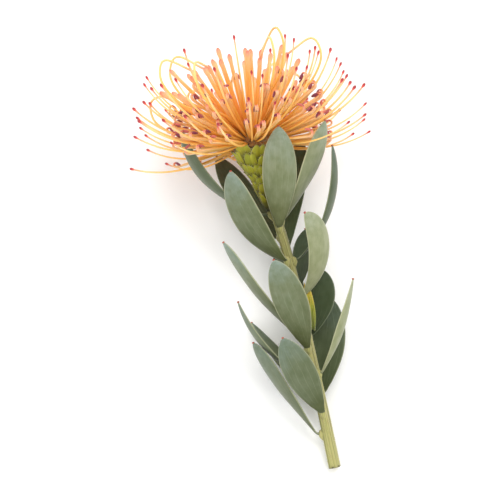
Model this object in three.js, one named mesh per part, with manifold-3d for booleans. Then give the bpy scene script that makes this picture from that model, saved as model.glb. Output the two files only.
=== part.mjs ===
// A cut pincushion protea flower lying on a table: a bloom of petal bands and pins on its leafy stem.
// Millimetres, +Z up. The table is z = 0, the stem lies along Y with the bloom towards +Y, and +X is to the
// right of the stem for someone who looks down on it. The origin is the middle of the footprint on the table.

import * as THREE from "three";
import { mergeVertices } from "three/addons/utils/BufferGeometryUtils.js";
import Module from "manifold-3d";

const wasm = await Module();
wasm.setup();

// ---- driving dimensions -------------------------------------------------------------------------------

const SEAT_GAP = 0.3; // between touching pieces

// The stem's centre line from the cut end, which lies on the table, up to the foot of the flower stalk.
const STEM_LINE = [
  [40.2, -99.4, 2.5],
  [35.5, -77.4, 8],
  [29, -48.5, 15.1],
  [23.4, -24.1, 21.1],
  [18.3, -3.3, 26.2],
  [11.8, 18.3, 31.5],
];
const STEM_RADIUS_CUT = 2.8;
const STEM_RADIUS_TOP = 2.2;
const STEM_SIDES = 10;

// The flower stalk widens into a cup of bracts that holds the head.
const STALK_MIDDLE = [6.2, 31.2, 34.6];
const HEAD_BASE = [1.9, 45.5, 37.6];
const STALK_RADIUS = 3.5;
const CUP_RADIUS = 9.2;
const STALK_SIDES = 12;
const BRACTS = 36;

// The head leans to the left of the stem and is held a little above level.
const BLOOM_LEAN = 8; // degrees to the left of +Y
const BLOOM_LIFT = 8; // degrees above the level
const DOME_RADIUS = 9.5;
const DOME_HEIGHT = 11;
const DOME_RIM = 1.6;
const DOME_SIDES = 14;

// Florets stand in a spiral on the dome and ripen from the rim inwards. Those nearest the axis are closed tubes,
// most of the next ones have let go of a loop of their pin, and the rest are open: the petal band has rolled back
// and the pin stands free.
const FLORETS = 97;
const LOWEST_FLORET = 97; // degrees from the axis of the bloom
const SPARSE_TOP = 0.76; // below 1, florets stand further apart near the axis
const CLOSED_WITHIN = 20; // degrees from the axis
const LOOPED_WITHIN = 47;
const RIPENESS_SPREAD = 26; // degrees by which florets ripen out of turn
const TUBE_LENGTH = 42;
const TUBE_RADIUS = 1.2;
const TUBE_SIDES = 3;
const PIN_LENGTH = 51;
const PIN_RADIUS = 0.6;
const PIN_SIDES = 3;
const PIN_CLEARANCE = -0.2; // the level that pins on the table side come down towards
const PIN_INCURVE = 44; // degrees that an open pin turns back towards the axis
const BAND_LENGTH = 28; // of an open petal band at the rim, up to its curl
const TOP_BAND_SHARE = 1.35; // how much longer a band is at the axis
const BAND_WIDTH = 2.6;
const BAND_THICKNESS = 1.1;
const CURL_RADIUS = 2.1;
const LEAF_MARGIN = 2.6; // from a floret's centre line to the middle of the nearest leaf

const GOLDEN_ANGLE = 180 * (3 - Math.sqrt(5)); // from one leaf, bract or floret to the next

// The leaves, roughly from the top one down. `at` is how far below the flower stalk a leaf sits and `turn` where it
// sits round the stem, in degrees: 0 is right, 90 is up, 180 is left and 270 is the table side. `splay` is its
// angle off the stem and `sway` its sideways angle along the stem, at the foot and at the tip. The blade turns
// by `twist` from foot to tip.
const LEAVES = [
  { at: 6, turn: 30, length: 52, width: 13, splay: [51, 31], sway: [16, -2], twist: -20 },
  { at: 9, turn: 90, length: 50, width: 16, splay: [30, 8], sway: [18, 14], twist: 0 },
  { at: 2, turn: 178, length: 63, width: 11.5, splay: [65, -7], sway: [0, 0], twist: 35 },
  { at: 14, turn: 236, length: 57, width: 16, splay: [44, 21], sway: [0, 0], twist: 0 },
  { at: 26, turn: 6, length: 60, width: 10, splay: [64, 0], sway: [0, 0], twist: -25 },
  { at: 20, turn: 280, length: 58, width: 13, splay: [30, 12], sway: [-12, -28], twist: 0 },
  { at: 25, turn: 116, length: 53, width: 15, splay: [32, 12], sway: [-32, 14], twist: 0 },
  { at: 38, turn: 308, length: 30, width: 12, splay: [36, 24], sway: [0, 0], twist: 0 },
  { at: 43, turn: 55, length: 48, width: 12.5, splay: [36, 14], sway: [48, -50], twist: 0 },
  { at: 60, turn: 165, length: 57, width: 13, splay: [38, 16], sway: [0, 0], twist: 12 },
  { at: 56, turn: 262, length: 44, width: 13, splay: [36, 20], sway: [0, 0], twist: 0 },
  { at: 62, turn: 302, length: 33, width: 15, splay: [25, 8], sway: [-30, -2], twist: 15 },
  { at: 67, turn: 100, length: 48, width: 16, splay: [30, 12], sway: [-2, -8], twist: 0 },
  { at: 80, turn: 42, length: 48, width: 7.5, splay: [38, 16], sway: [22, 12], twist: 15 },
  { at: 80, turn: 172, length: 50, width: 10, splay: [58, 4], sway: [0, 0], twist: 10 },
  { at: 90, turn: 295, length: 48, width: 16, splay: [24, 6], sway: [-17, -3], twist: 25 },
  { at: 88, turn: 215, length: 46, width: 14, splay: [44, 24], sway: [0, 0], twist: 20 },
  { at: 98, turn: 94, length: 44, width: 15, splay: [30, 14], sway: [-17, -12], twist: 0 },
  { at: 108, turn: 174, length: 54, width: 15, splay: [31, 16], sway: [0, 0], twist: 30 },
];
const LEAF_THICKNESS = 0.8;
const LEAF_FOOT_THICKNESS = 1.3;
const LEAF_FOOT_SHARE = 0.24; // of the blade's width
const LEAF_CUP = 0.16; // how far the margins turn in towards the stem, as a share of half the width

const LANDING_REACH = 12; // a shoot bends level over this height above the table
const EASING_HEIGHT = 4; // blades and loops ease off above the table from this height

// ---- helpers ------------------------------------------------------------------------------------------

const vector = (x, y, z) => new THREE.Vector3(x, y, z);
const radians = THREE.MathUtils.degToRad;
const mix = THREE.MathUtils.lerp;
const UP = vector(0, 0, 1);

// Numbers from 0 to 1 that are the same in every run.
function seeded(seed) {
  let state = seed;
  return () => {
    state = (state * 1664525 + 1013904223) % 4294967296;
    return state / 4294967296;
  };
}

// The closed solid of a geometry, by its positions alone.
function solid(geometry) {
  const bare = geometry.clone();
  bare.deleteAttribute("normal");
  bare.deleteAttribute("uv");
  const merged = mergeVertices(bare, 1e-4);
  return new wasm.Manifold(
    new wasm.Mesh({
      numProp: 3,
      vertProperties: merged.attributes.position.array,
      triVerts: new Uint32Array(merged.index.array),
    }),
  );
}

function geometryOf(manifold) {
  const mesh = manifold.getMesh();
  const geometry = new THREE.BufferGeometry();
  geometry.setAttribute("position", new THREE.BufferAttribute(mesh.vertProperties, 3));
  geometry.setIndex(new THREE.BufferAttribute(mesh.triVerts, 1));
  return geometry;
}

const union = (geometries) => wasm.Manifold.union(geometries.map(solid));

// Points of a shoot that heads where heading(t) says, and bends level towards `spill` just above the table.
function grow(start, length, heading, spill, clearance, steps = 30) {
  const points = [start.clone()];
  for (let i = 0; i < steps; i += 1) {
    const point = points[i].clone();
    const direction = heading((i + 0.5) / steps);
    const steepest = Math.max(point.z - clearance, 0) / LANDING_REACH;
    const excess = -direction.z - steepest;
    if (excess > 0) {
      direction.z = -steepest;
      direction.addScaledVector(spill, excess).normalize();
    }
    points.push(point.addScaledVector(direction, length / steps));
  }
  return points;
}

// A height that never comes down to the table: below EASING_HEIGHT it eases off towards `low`.
function keptAbove(z, low) {
  const room = EASING_HEIGHT - low;
  return z > EASING_HEIGHT ? z : low + room * Math.exp((z - EASING_HEIGHT) / room);
}

function pointAt(points, t) {
  const place = t * (points.length - 1);
  const index = Math.min(Math.floor(place), points.length - 2);
  return points[index].clone().lerp(points[index + 1], place - index);
}

// Directions at a place on a shoot: along it, across it near `side`, and out of the plane of those two.
function across(points, t, side) {
  const step = 0.02;
  const along = pointAt(points, Math.min(t + step, 1)).sub(pointAt(points, Math.max(t - step, 0))).normalize();
  const right = side.clone().addScaledVector(along, -side.dot(along)).normalize();
  return { along, right, out: right.clone().cross(along) };
}

// A round shoot along a line of points. The profile lists places along it, from 0 to 1, and radii in mm.
function shoot(points, side, profile, sides) {
  const ends = [profile[0][0], profile.at(-1)[0]];
  const outline = [[ends[0], 0], ...profile, [ends[1], 0]].map(([t, radius]) => new THREE.Vector2(radius, t));
  const geometry = new THREE.LatheGeometry(outline, sides);
  const place = geometry.attributes.position;
  for (let i = 0; i < place.count; i += 1) {
    const { right, out } = across(points, place.getY(i), side);
    const point = pointAt(points, place.getY(i));
    point.addScaledVector(right, place.getX(i)).addScaledVector(out, place.getZ(i));
    place.setXYZ(i, ...point.toArray());
  }
  return geometry;
}

// A closed skin over rings of equal count, with strips of triangles over its two ends. From the side number
// `mirrorFrom` on, each quad is split the other way, so that both faces of a blade have their triangles alike.
function skin(rings, mirrorFrom = Infinity) {
  const count = rings[0].length;
  const last = (rings.length - 1) * count;
  const triangles = [];
  for (let low = 0; low < last; low += count) {
    for (let side = 0; side < count; side += 1) {
      const next = (side + 1) % count;
      const [a, b, c, d] = [low + side, low + next, low + count + next, low + count + side];
      triangles.push(...(side < mirrorFrom ? [a, b, c, a, c, d] : [a, b, d, b, c, d]));
    }
  }
  for (let a = 0; 2 * a < count - 2; a += 1) {
    const [b, c, d] = [a + 1, count - 2 - a, count - 1 - a];
    triangles.push(a, d, b, last + a, last + b, last + d);
    if (c > b) triangles.push(b, d, c, last + b, last + c, last + d);
  }
  const geometry = new THREE.BufferGeometry().setFromPoints(rings.flat());
  geometry.setIndex(triangles);
  return geometry;
}

// ---- stem ---------------------------------------------------------------------------------------------

const stemCurve = new THREE.CatmullRomCurve3(STEM_LINE.map((place) => vector(...place)));
const stemPoints = stemCurve.getSpacedPoints(60);
const stemRadius = (t) => mix(STEM_RADIUS_CUT, STEM_RADIUS_TOP, t);

// The stem, flat underneath where its cut end rests on the table.
function stemGeometry() {
  const stations = 14;
  const profile = Array.from({ length: stations + 1 }, (_, i) => [i / stations, stemRadius(i / stations)]);
  const wood = shoot(stemPoints, vector(1, 0, 0), profile, STEM_SIDES);
  const [x, y] = STEM_LINE[0];
  const table = new THREE.BoxGeometry(60, 60, 10).translate(x, y, -5);
  return geometryOf(solid(wood).subtract(solid(table)));
}

// ---- directions of the bloom --------------------------------------------------------------------------

const axis = vector(
  -Math.sin(radians(BLOOM_LEAN)) * Math.cos(radians(BLOOM_LIFT)),
  Math.cos(radians(BLOOM_LEAN)) * Math.cos(radians(BLOOM_LIFT)),
  Math.sin(radians(BLOOM_LIFT)),
);
const bloomRight = axis.clone().cross(UP).normalize();
const bloomUp = bloomRight.clone().cross(axis);
const headBase = vector(...HEAD_BASE);

// The direction at `polar` degrees from the axis of the bloom and `azimuth` degrees round it.
function outward(polar, azimuth) {
  const aside = Math.sin(radians(polar));
  return axis
    .clone()
    .multiplyScalar(Math.cos(radians(polar)))
    .addScaledVector(bloomRight, aside * Math.cos(radians(azimuth)))
    .addScaledVector(bloomUp, aside * Math.sin(radians(azimuth)));
}

// Puts a body that stands on the origin along +Y on the base of the head, along the axis of the bloom.
function onHead(geometry) {
  const turn = new THREE.Quaternion().setFromUnitVectors(vector(0, 1, 0), axis);
  return geometry.applyQuaternion(turn).translate(...HEAD_BASE);
}

// ---- flower stalk and involucre -----------------------------------------------------------------------

const stalkCurve = new THREE.CatmullRomCurve3([
  stemPoints.at(-1),
  vector(...STALK_MIDDLE),
  headBase.clone().addScaledVector(axis, -5),
  headBase,
]);
const stalkPoints = stalkCurve.getSpacedPoints(24);
const stalkLength = stalkCurve.getLength();

// The stalk's radius: even at first, and a smooth flare into the cup over its last half.
function stalkRadius(t) {
  const flare = Math.max(0, (t - 0.5) / 0.5);
  return STALK_RADIUS + 0.4 * t + (CUP_RADIUS - STALK_RADIUS - 0.4) * flare ** 1.8;
}

// A pointed bract, sunk in the stalk at t and pointing up it.
function bract(t, azimuth) {
  const { along, right, out } = across(stalkPoints, t, vector(1, 0, 0));
  const radial = right.clone().multiplyScalar(Math.cos(azimuth)).addScaledVector(out, Math.sin(azimuth));
  const flare = (stalkRadius(t + 0.01) - stalkRadius(t - 0.01)) / (0.02 * stalkLength);
  const up = along.clone().addScaledVector(radial, flare).normalize();
  const away = radial.clone().addScaledVector(up, -radial.dot(up)).normalize();
  const scale = new THREE.OctahedronGeometry(1).scale(mix(1.7, 2.6, t), mix(3, 3.6, t), 0.8);
  const place = new THREE.Matrix4().makeBasis(up.clone().cross(away), up, away);
  place.setPosition(pointAt(stalkPoints, t).addScaledVector(radial, stalkRadius(t) - 0.1));
  return scale.applyMatrix4(place);
}

function involucreGeometry() {
  const stations = [0.013, 0.3, 0.5, 0.64, 0.78, 0.9, 1];
  const profile = stations.map((t) => [t, stalkRadius(t)]);
  const stalk = shoot(stalkPoints, vector(1, 0, 0), profile, STALK_SIDES);
  const bracts = Array.from({ length: BRACTS }, (_, i) => {
    const t = mix(0.12, 0.9, (i / (BRACTS - 1)) ** 0.8);
    return bract(t, radians(i * GOLDEN_ANGLE));
  });
  const head = onHead(new THREE.CylinderGeometry(20, 20, 10, STALK_SIDES).translate(0, 5 - SEAT_GAP, 0));
  return geometryOf(union([stalk, ...bracts]).subtract(solid(head)));
}

// ---- leaves -------------------------------------------------------------------------------------------

// Half the blade's width at t, as a share of the widest: a narrow foot and a blunt point.
function leafOutline(t) {
  const widest = 0.56;
  if (t < widest) return mix(LEAF_FOOT_SHARE, 1, Math.sin((Math.PI / 2) * (t / widest)) ** 1.3);
  return Math.max((1 - ((t - widest) / (1 - widest)) ** 2.3) ** 0.72, 0.06);
}

// The middle line of a leaf. It leaves the stem square to it, and turns up along it at once.
function leafLine({ at, turn, length, splay, sway }) {
  const station = 1 - at / stemCurve.getLength();
  const { along, right, out } = across(stemPoints, station, vector(1, 0, 0));
  const radial = right.clone().multiplyScalar(Math.cos(radians(turn)));
  radial.addScaledVector(out, Math.sin(radians(turn)));
  const round = along.clone().cross(radial);
  const foot = pointAt(stemPoints, station).addScaledVector(radial, stemRadius(station) + SEAT_GAP);
  const heading = (t) => {
    const clasp = (85 - splay[0]) * Math.max(0, 1 - t / 0.06);
    const off = radians(mix(...splay, t) + clasp);
    const aside = radians(mix(...sway, t));
    return along
      .clone()
      .multiplyScalar(Math.cos(off) * Math.cos(aside))
      .addScaledVector(round, Math.cos(off) * Math.sin(aside))
      .addScaledVector(radial, Math.sin(off));
  };
  const spill = vector(along.x + radial.x, along.y + radial.y, 0).normalize();
  return { points: grow(foot, length, heading, spill, 1.2, 50), round };
}

// A cross section of the blade at t: its middle surface and the direction through it.
function leafSection(leaf, line, t) {
  const { along, right, out } = across(line.points, t, line.round);
  const twist = radians(leaf.twist * t);
  right.applyAxisAngle(along, twist);
  out.applyAxisAngle(along, twist);
  const half = (leaf.width / 2) * leafOutline(t);
  const cup = LEAF_CUP * half * Math.min(1, t / 0.1);
  const middles = [-1, -0.5, 0, 0.5, 1].map((column) => {
    const middle = pointAt(line.points, t).addScaledVector(right, half * column);
    middle.addScaledVector(out, -cup * column * column);
    middle.z = keptAbove(middle.z, LEAF_THICKNESS);
    return middle;
  });
  return { middles, out };
}

function leafGeometry(leaf, line) {
  const stations = [0, 0.04, 0.12, 0.27, 0.43, 0.58, 0.74, 0.88, 1];
  const rings = stations.map((t) => {
    const { middles, out } = leafSection(leaf, line, t);
    const thickness = mix(LEAF_FOOT_THICKNESS, LEAF_THICKNESS, Math.min(1, t / 0.2));
    const outer = middles.map((middle) => middle.clone().addScaledVector(out, thickness / 2));
    const inner = middles.map((middle) => middle.clone().addScaledVector(out, -thickness / 2));
    return [...outer, ...inner.reverse()];
  });
  return skin(rings, rings[0].length / 2);
}

const leafLines = LEAVES.map(leafLine);

// ---- florets ------------------------------------------------------------------------------------------

// Where a floret stands, sunk into the dome.
function footOf(polar, azimuth) {
  const sunk = 0.9;
  const seat = Math.min(polar, 90);
  const height = DOME_RIM + 0.3 + (DOME_HEIGHT - DOME_RIM - sunk) * Math.cos(radians(seat));
  const reach = (DOME_RADIUS - sunk) * Math.sin(radians(seat));
  return headBase.clone().addScaledVector(axis, height).addScaledVector(outward(90, azimuth), reach);
}

// Which way a floret splays where it lies on the table: sideways and forwards.
function spillOf(azimuth) {
  const way = bloomRight.clone().multiplyScalar(1.3 * Math.cos(radians(azimuth))).addScaledVector(axis, 0.5);
  way.z = 0;
  return way.normalize();
}

function tubeLine(polar, azimuth, length) {
  const heading = (t) => outward(polar - 6 * t, azimuth);
  return grow(footOf(polar, azimuth), length, heading, spillOf(azimuth), TUBE_RADIUS);
}

function pinLine(polar, azimuth, length) {
  const droop = 4 + 8 * (polar / LOWEST_FLORET) ** 3;
  const heading = (t) => outward(Math.max(polar + droop - PIN_INCURVE * t ** 1.4, 6), azimuth);
  return grow(footOf(polar, azimuth), length, heading, spillOf(azimuth), PIN_CLEARANCE);
}

// A pin that is still caught in the tip of its tube, and bows out from it in a loop.
function loopLine(polar, azimuth, tube) {
  const foot = footOf(polar + 5, azimuth);
  const bow = [[0.3, 20], [0.62, 25], [0.88, 17], [0.96, 7]];
  const places = bow.map(([reach, lean]) => {
    const place = foot.clone().addScaledVector(outward(polar + lean, azimuth), reach * PIN_LENGTH);
    place.z = keptAbove(place.z, 2 * PIN_RADIUS);
    return place;
  });
  return new THREE.CatmullRomCurve3([foot, ...places, pointAt(tube, 0.97)]).getSpacedPoints(30);
}

// An open band, with its end rolled over towards the axis.
function bandLine(polar, azimuth, length) {
  const heading = () => outward(polar, azimuth);
  const strap = grow(footOf(polar - 4, azimuth), length, heading, spillOf(azimuth), TUBE_RADIUS);
  const { along, out } = across(strap, 1, outward(90, azimuth + 90));
  const curl = [90, 200].map((turn) =>
    strap
      .at(-1)
      .clone()
      .addScaledVector(out, CURL_RADIUS * (1 - Math.cos(radians(turn))))
      .addScaledVector(along, CURL_RADIUS * Math.sin(radians(turn))),
  );
  return [strap[0], pointAt(strap, 0.5), strap.at(-1), ...curl];
}

// A strap with a ridge along its back.
function bandGeometry(line, side) {
  const widths = [0.4, 0.95, 1, 0.95, 0.5];
  const rings = line.map((point, i) => {
    const { right, out } = across(line, i / (line.length - 1), side);
    const half = (BAND_WIDTH / 2) * widths[i];
    return [
      point.clone().addScaledVector(right, -half).addScaledVector(out, -0.3 * BAND_THICKNESS),
      point.clone().addScaledVector(out, 0.7 * BAND_THICKNESS),
      point.clone().addScaledVector(right, half).addScaledVector(out, -0.3 * BAND_THICKNESS),
    ];
  });
  return skin(rings);
}

// Places along each kind of shoot, from 0 to 1, with the thickness there as a share of its radius.
const PIN_PROFILE = [[0, 0.9], [0.32, 1], [0.65, 0.9], [0.92, 0.8], [0.955, 1.3], [1, 0.5]];
const TUBE_PROFILE = [[0, 0.8], [0.4, 0.95], [0.8, 0.85], [0.89, 1.25], [1, 0.6]];
const LOOP_PROFILE = [[0, 1.1], [0.16, 1], [0.32, 1], [0.48, 1], [0.62, 1], [0.75, 1], [0.87, 1], [1, 0.9]];
const scaled = (profile, radius) => profile.map(([t, share]) => [t, share * radius]);

// The shoots of one floret, which is closed, looped or open: the line of each and how it is skinned. They are
// longer the further it has grown, from 0 to 1.
function floretAt(polar, azimuth, grown, stage) {
  const side = outward(90, azimuth + 90);
  const make = {
    pin: (line) => shoot(line, side, scaled(PIN_PROFILE, PIN_RADIUS), PIN_SIDES),
    loop: (line) => shoot(line, side, scaled(LOOP_PROFILE, PIN_RADIUS), PIN_SIDES),
    tube: (line) => shoot(line, side, scaled(TUBE_PROFILE, TUBE_RADIUS), TUBE_SIDES),
    band: (line) => bandGeometry(line, side),
  };
  if (stage === "open") {
    const bandLength = BAND_LENGTH * mix(TOP_BAND_SHARE, 1, polar / LOWEST_FLORET) * mix(0.9, 1.08, grown);
    return [
      { line: pinLine(polar, azimuth, PIN_LENGTH * mix(0.94, 1.06, grown)), make: make.pin },
      { line: bandLine(polar, azimuth + 3, bandLength), make: make.band },
    ];
  }
  const tube = tubeLine(polar, azimuth, TUBE_LENGTH * mix(0.84, 1.06, grown));
  const shoots = [{ line: tube, make: make.tube }];
  if (stage === "looped") shoots.push({ line: loopLine(polar, azimuth, tube), make: make.loop });
  return shoots;
}

// Places on the blades of the leaves that reach up to the bloom.
const leafPlaces = LEAVES.flatMap((leaf, i) => {
  const places = Array.from({ length: 25 }, (_, step) => leafSection(leaf, leafLines[i], step / 24).middles);
  return places.flat().filter((place) => place.distanceTo(headBase) < PIN_LENGTH + 15);
});

function clearOfLeaves(shoots) {
  return shoots.every(({ line }) =>
    line.slice(1).every((point) => leafPlaces.every((place) => place.distanceTo(point) > LEAF_MARGIN)),
  );
}

// Steps of polar angle and azimuth aside, nearest first, for a floret that a leaf has pushed over.
const NUDGES = [[0, 0]];
for (let size = 5; size <= 40; size += 5) {
  for (let way = 0; way < 360; way += 45) {
    NUDGES.push([-size * Math.cos(radians(way)), size * Math.sin(radians(way))]);
  }
}

function domeGeometry() {
  const outline = [new THREE.Vector2(0, 0), new THREE.Vector2(DOME_RADIUS, 0)];
  for (let turn = 0; turn < 90; turn += 15) {
    const height = DOME_RIM + (DOME_HEIGHT - DOME_RIM) * Math.sin(radians(turn));
    outline.push(new THREE.Vector2(DOME_RADIUS * Math.cos(radians(turn)), height));
  }
  outline.push(new THREE.Vector2(0, DOME_HEIGHT));
  return onHead(new THREE.LatheGeometry(outline, DOME_SIDES));
}

function floretGeometry() {
  const random = seeded(5);
  const lowest = 1 - Math.cos(radians(LOWEST_FLORET));
  const pieces = [domeGeometry()];
  for (let i = 0; i < FLORETS; i += 1) {
    const share = ((i + 0.5) / FLORETS) ** SPARSE_TOP;
    const even = THREE.MathUtils.radToDeg(Math.acos(1 - share * lowest));
    const polar = Math.min(even + 9 * (random() - 0.5), LOWEST_FLORET);
    const azimuth = i * GOLDEN_ANGLE + 16 * (random() - 0.5);
    const grown = random();
    const ripeness = polar + RIPENESS_SPREAD * (random() - 0.5);
    const held = ripeness > CLOSED_WITHIN && random() < 0.6 ? "looped" : "closed";
    const stage = ripeness > LOOPED_WITHIN ? "open" : held;
    const shoots = NUDGES.map(([tilt, turn]) => [Math.min(polar + tilt, LOWEST_FLORET), azimuth + turn])
      .map(([nudgedPolar, nudgedAzimuth]) => floretAt(nudgedPolar, nudgedAzimuth, grown, stage))
      .find(clearOfLeaves);
    if (shoots) pieces.push(...shoots.map(({ line, make }) => make(line)));
  }
  return geometryOf(union(pieces));
}

// ---- the flower ---------------------------------------------------------------------------------------

const flower = new THREE.Group();

function add(name, geometry, color, roughness) {
  const mesh = new THREE.Mesh(geometry, new THREE.MeshStandardMaterial({ color, roughness, metalness: 0 }));
  mesh.name = name;
  flower.add(mesh);
}

add("stem", stemGeometry(), 0x8a8a58, 0.8);
add("involucre", involucreGeometry(), 0x7d8030, 0.75);
add("florets", floretGeometry(), 0xf6a94a, 0.6);
LEAVES.forEach((leaf, i) => {
  const name = `leaf_${String(i + 1).padStart(2, "0")}`;
  add(name, leafGeometry(leaf, leafLines[i]), 0x7c8866, 0.75);
});

export default flower;
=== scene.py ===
"""A cut pincushion protea flower that lies on a table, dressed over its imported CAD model.

Lengths in the shape code are millimetres in the CAD frame: +Z is up, the table is z = 0, and the stem lies
along Y with the bloom towards +Y. A piece is turned to metres when its mesh is made.
"""

import math
from bisect import bisect_left

import bmesh
import bpy
from bpy.props import FloatProperty, FloatVectorProperty, IntProperty, PointerProperty
from mathutils import Matrix, Vector
from mathutils.kdtree import KDTree


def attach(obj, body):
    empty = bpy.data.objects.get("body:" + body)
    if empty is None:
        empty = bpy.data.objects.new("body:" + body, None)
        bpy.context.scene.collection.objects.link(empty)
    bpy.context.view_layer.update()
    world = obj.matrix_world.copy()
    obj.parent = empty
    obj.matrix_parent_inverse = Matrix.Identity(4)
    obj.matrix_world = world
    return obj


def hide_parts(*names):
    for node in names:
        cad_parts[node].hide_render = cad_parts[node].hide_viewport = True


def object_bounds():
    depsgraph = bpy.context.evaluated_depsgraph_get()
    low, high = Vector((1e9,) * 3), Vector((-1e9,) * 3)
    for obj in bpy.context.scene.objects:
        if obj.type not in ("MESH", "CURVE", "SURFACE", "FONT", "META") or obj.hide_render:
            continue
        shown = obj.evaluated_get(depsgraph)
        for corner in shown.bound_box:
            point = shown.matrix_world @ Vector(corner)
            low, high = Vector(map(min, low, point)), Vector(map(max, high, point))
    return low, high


bl_info = {
    "name": "Pincushion Protea Flower",
    "version": (1, 0, 0),
    "blender": (4, 5, 0),
    "location": "View3D > Sidebar > Protea",
    "description": "Builds a cut pincushion protea flower on its CAD frame",
    "category": "Object",
}

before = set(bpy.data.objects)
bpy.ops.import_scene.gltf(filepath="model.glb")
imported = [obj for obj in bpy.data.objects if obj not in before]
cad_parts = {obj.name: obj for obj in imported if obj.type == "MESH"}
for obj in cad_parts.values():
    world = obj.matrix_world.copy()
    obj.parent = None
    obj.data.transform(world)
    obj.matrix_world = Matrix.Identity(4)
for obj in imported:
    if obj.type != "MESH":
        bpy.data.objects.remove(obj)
CAD_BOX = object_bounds()

MM = 0.001
UP = Vector((0, 0, 1))
X_AXIS = Vector((1, 0, 0))

# ---- sizes shared with the CAD part ---------------------------------------------------------------------

SEAT_GAP = 0.3  # between touching pieces

# The stem's centre line from the cut end, which lies on the table, up to the foot of the flower stalk.
STEM_LINE = [
    (40.2, -99.4, 2.5),
    (35.5, -77.4, 8),
    (29, -48.5, 15.1),
    (23.4, -24.1, 21.1),
    (18.3, -3.3, 26.2),
    (11.8, 18.3, 31.5),
]
STEM_RADIUS_CUT = 2.8
STEM_RADIUS_TOP = 2.2

# The flower stalk widens into a cup of bracts that holds the head.
STALK_MIDDLE = (6.2, 31.2, 34.6)
HEAD_BASE = Vector((1.9, 45.5, 37.6))
STALK_RADIUS = 3.5
CUP_RADIUS = 9.2
CAD_BRACTS = 36

# The head leans to the left of the stem and is held a little above level.
BLOOM_LEAN = 8  # degrees to the left of +Y
BLOOM_LIFT = 8  # degrees above the level
DOME_RADIUS = 9.5
DOME_HEIGHT = 11
DOME_RIM = 1.6

# Florets stand in a spiral on the dome and ripen from the rim inwards, through closed and looped to open.
CAD_FLORETS = 97
LOWEST_FLORET = 97  # degrees from the axis of the bloom
SPARSE_TOP = 0.76  # below 1, florets stand further apart near the axis
CLOSED_WITHIN = 20  # degrees from the axis
LOOPED_WITHIN = 47
RIPENESS_SPREAD = 26  # degrees by which florets ripen out of turn
PIN_LENGTH = 51
PIN_CLEARANCE = -0.2  # the level that pins on the table side come down towards
PIN_INCURVE = 44  # degrees that an open pin turns back towards the axis
TUBE_CLEARANCE = 1.2
TOP_BAND_SHARE = 1.35  # how much longer a band is at the axis
LEAF_MARGIN = 2.6  # the least distance from a floret's centre line to a leaf
GOLDEN_ANGLE = 180 * (3 - math.sqrt(5))  # from one leaf, bract or floret to the next

LEAF_THICKNESS = 0.8
LEAF_FOOT_THICKNESS = 1.3
LEAF_FOOT_SHARE = 0.24  # of the blade's width
LEAF_CUP = 0.16  # how far the margins turn in towards the stem, as a share of half the width
LANDING_REACH = 12  # a shoot bends level over this height above the table
EASING_HEIGHT = 4  # blades and loops ease off above the table from this height

# Each leaf: how far below the flower stalk it sits, and where round the stem in degrees from the right over
# the top; its length and width; its splay off the stem and its sideways sway, both at foot and at tip; its
# twist; and its tone, from -1 for a leaf darkened with painted shade, as it lies in shade, to 1 for a pale
# young one.
LEAVES = [
    (6, 30, 52, 13, (51, 31), (16, -2), -20, 0.4),
    (9, 90, 50, 16, (30, 8), (18, 14), 0, 0.2),
    (2, 178, 63, 11.5, (65, -7), (0, 0), 35, -0.75),
    (14, 236, 57, 16, (44, 21), (0, 0), 0, -0.8),
    (26, 6, 60, 10, (64, 0), (0, 0), -25, -0.85),
    (20, 280, 58, 13, (30, 12), (-12, -28), 0, -0.9),
    (25, 116, 53, 15, (32, 12), (-32, 14), 0, 0),
    (38, 308, 30, 12, (36, 24), (0, 0), 0, -1),
    (43, 55, 48, 12.5, (36, 14), (48, -50), 0, 0.7),
    (60, 165, 57, 13, (38, 16), (0, 0), 12, 0),
    (56, 262, 44, 13, (36, 20), (0, 0), 0, -0.5),
    (62, 302, 33, 15, (25, 8), (-30, -2), 15, -1),
    (67, 100, 48, 16, (30, 12), (-2, -8), 0, 0),
    (80, 42, 48, 7.5, (38, 16), (22, 12), 15, 0.7),
    (80, 172, 50, 10, (58, 4), (0, 0), 10, -0.35),
    (90, 295, 48, 16, (24, 6), (-17, -3), 25, -0.65),
    (88, 215, 46, 14, (44, 24), (0, 0), 20, -0.3),
    (98, 94, 44, 15, (30, 14), (-17, -12), 0, -0.35),
    (108, 174, 54, 15, (31, 16), (0, 0), 30, -0.35),
]

# ---- sizes of the dressing alone ------------------------------------------------------------------------

CUT_FACE_RADIUS = 2.72  # just inside the bark
SHOOT_AT = 60  # how far below the flower stalk the side shoot sits
SHOOT_TURN = 12  # degrees round the stem
SHOOT_LEAVES = 9
FRINGE_HAIRS = 16  # round each bract
SENSOR_WIDTH = 36
VIEW_SHIFT = (0, -0.002, -0.012)  # from the middle of the CAD box to what the camera looks at, in metres


def linear(hexadecimal):
    """A colour as linear red, green, blue and alpha from its sRGB hex value."""
    channels = [int(hexadecimal[i : i + 2], 16) / 255 for i in (0, 2, 4)]
    return (*(c / 12.92 if c <= 0.04045 else ((c + 0.055) / 1.055) ** 2.4 for c in channels), 1.0)


# ---- settings -------------------------------------------------------------------------------------------


def number_setting(name, description, default, **kind):
    """A number, with its limits and its unit."""
    return FloatProperty(name=name, description=description, default=default, **kind)


def length_setting(name, description, millimetres, least=0):
    """A length that the panel shows in the scene's unit."""
    return number_setting(name, description, millimetres * MM, min=least * MM, unit="LENGTH", precision=5)


def colour_setting(name, description, hexadecimal):
    """A colour that the panel shows as a swatch."""
    look = {"size": 4, "min": 0, "max": 1, "subtype": "COLOR"}
    return FloatVectorProperty(name=name, description=description, default=linear(hexadecimal), **look)


def count_setting(name, description, default, fewest, most):
    """How many there are of a thing."""
    return IntProperty(name=name, description=description, default=default, min=fewest, max=most)


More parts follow.
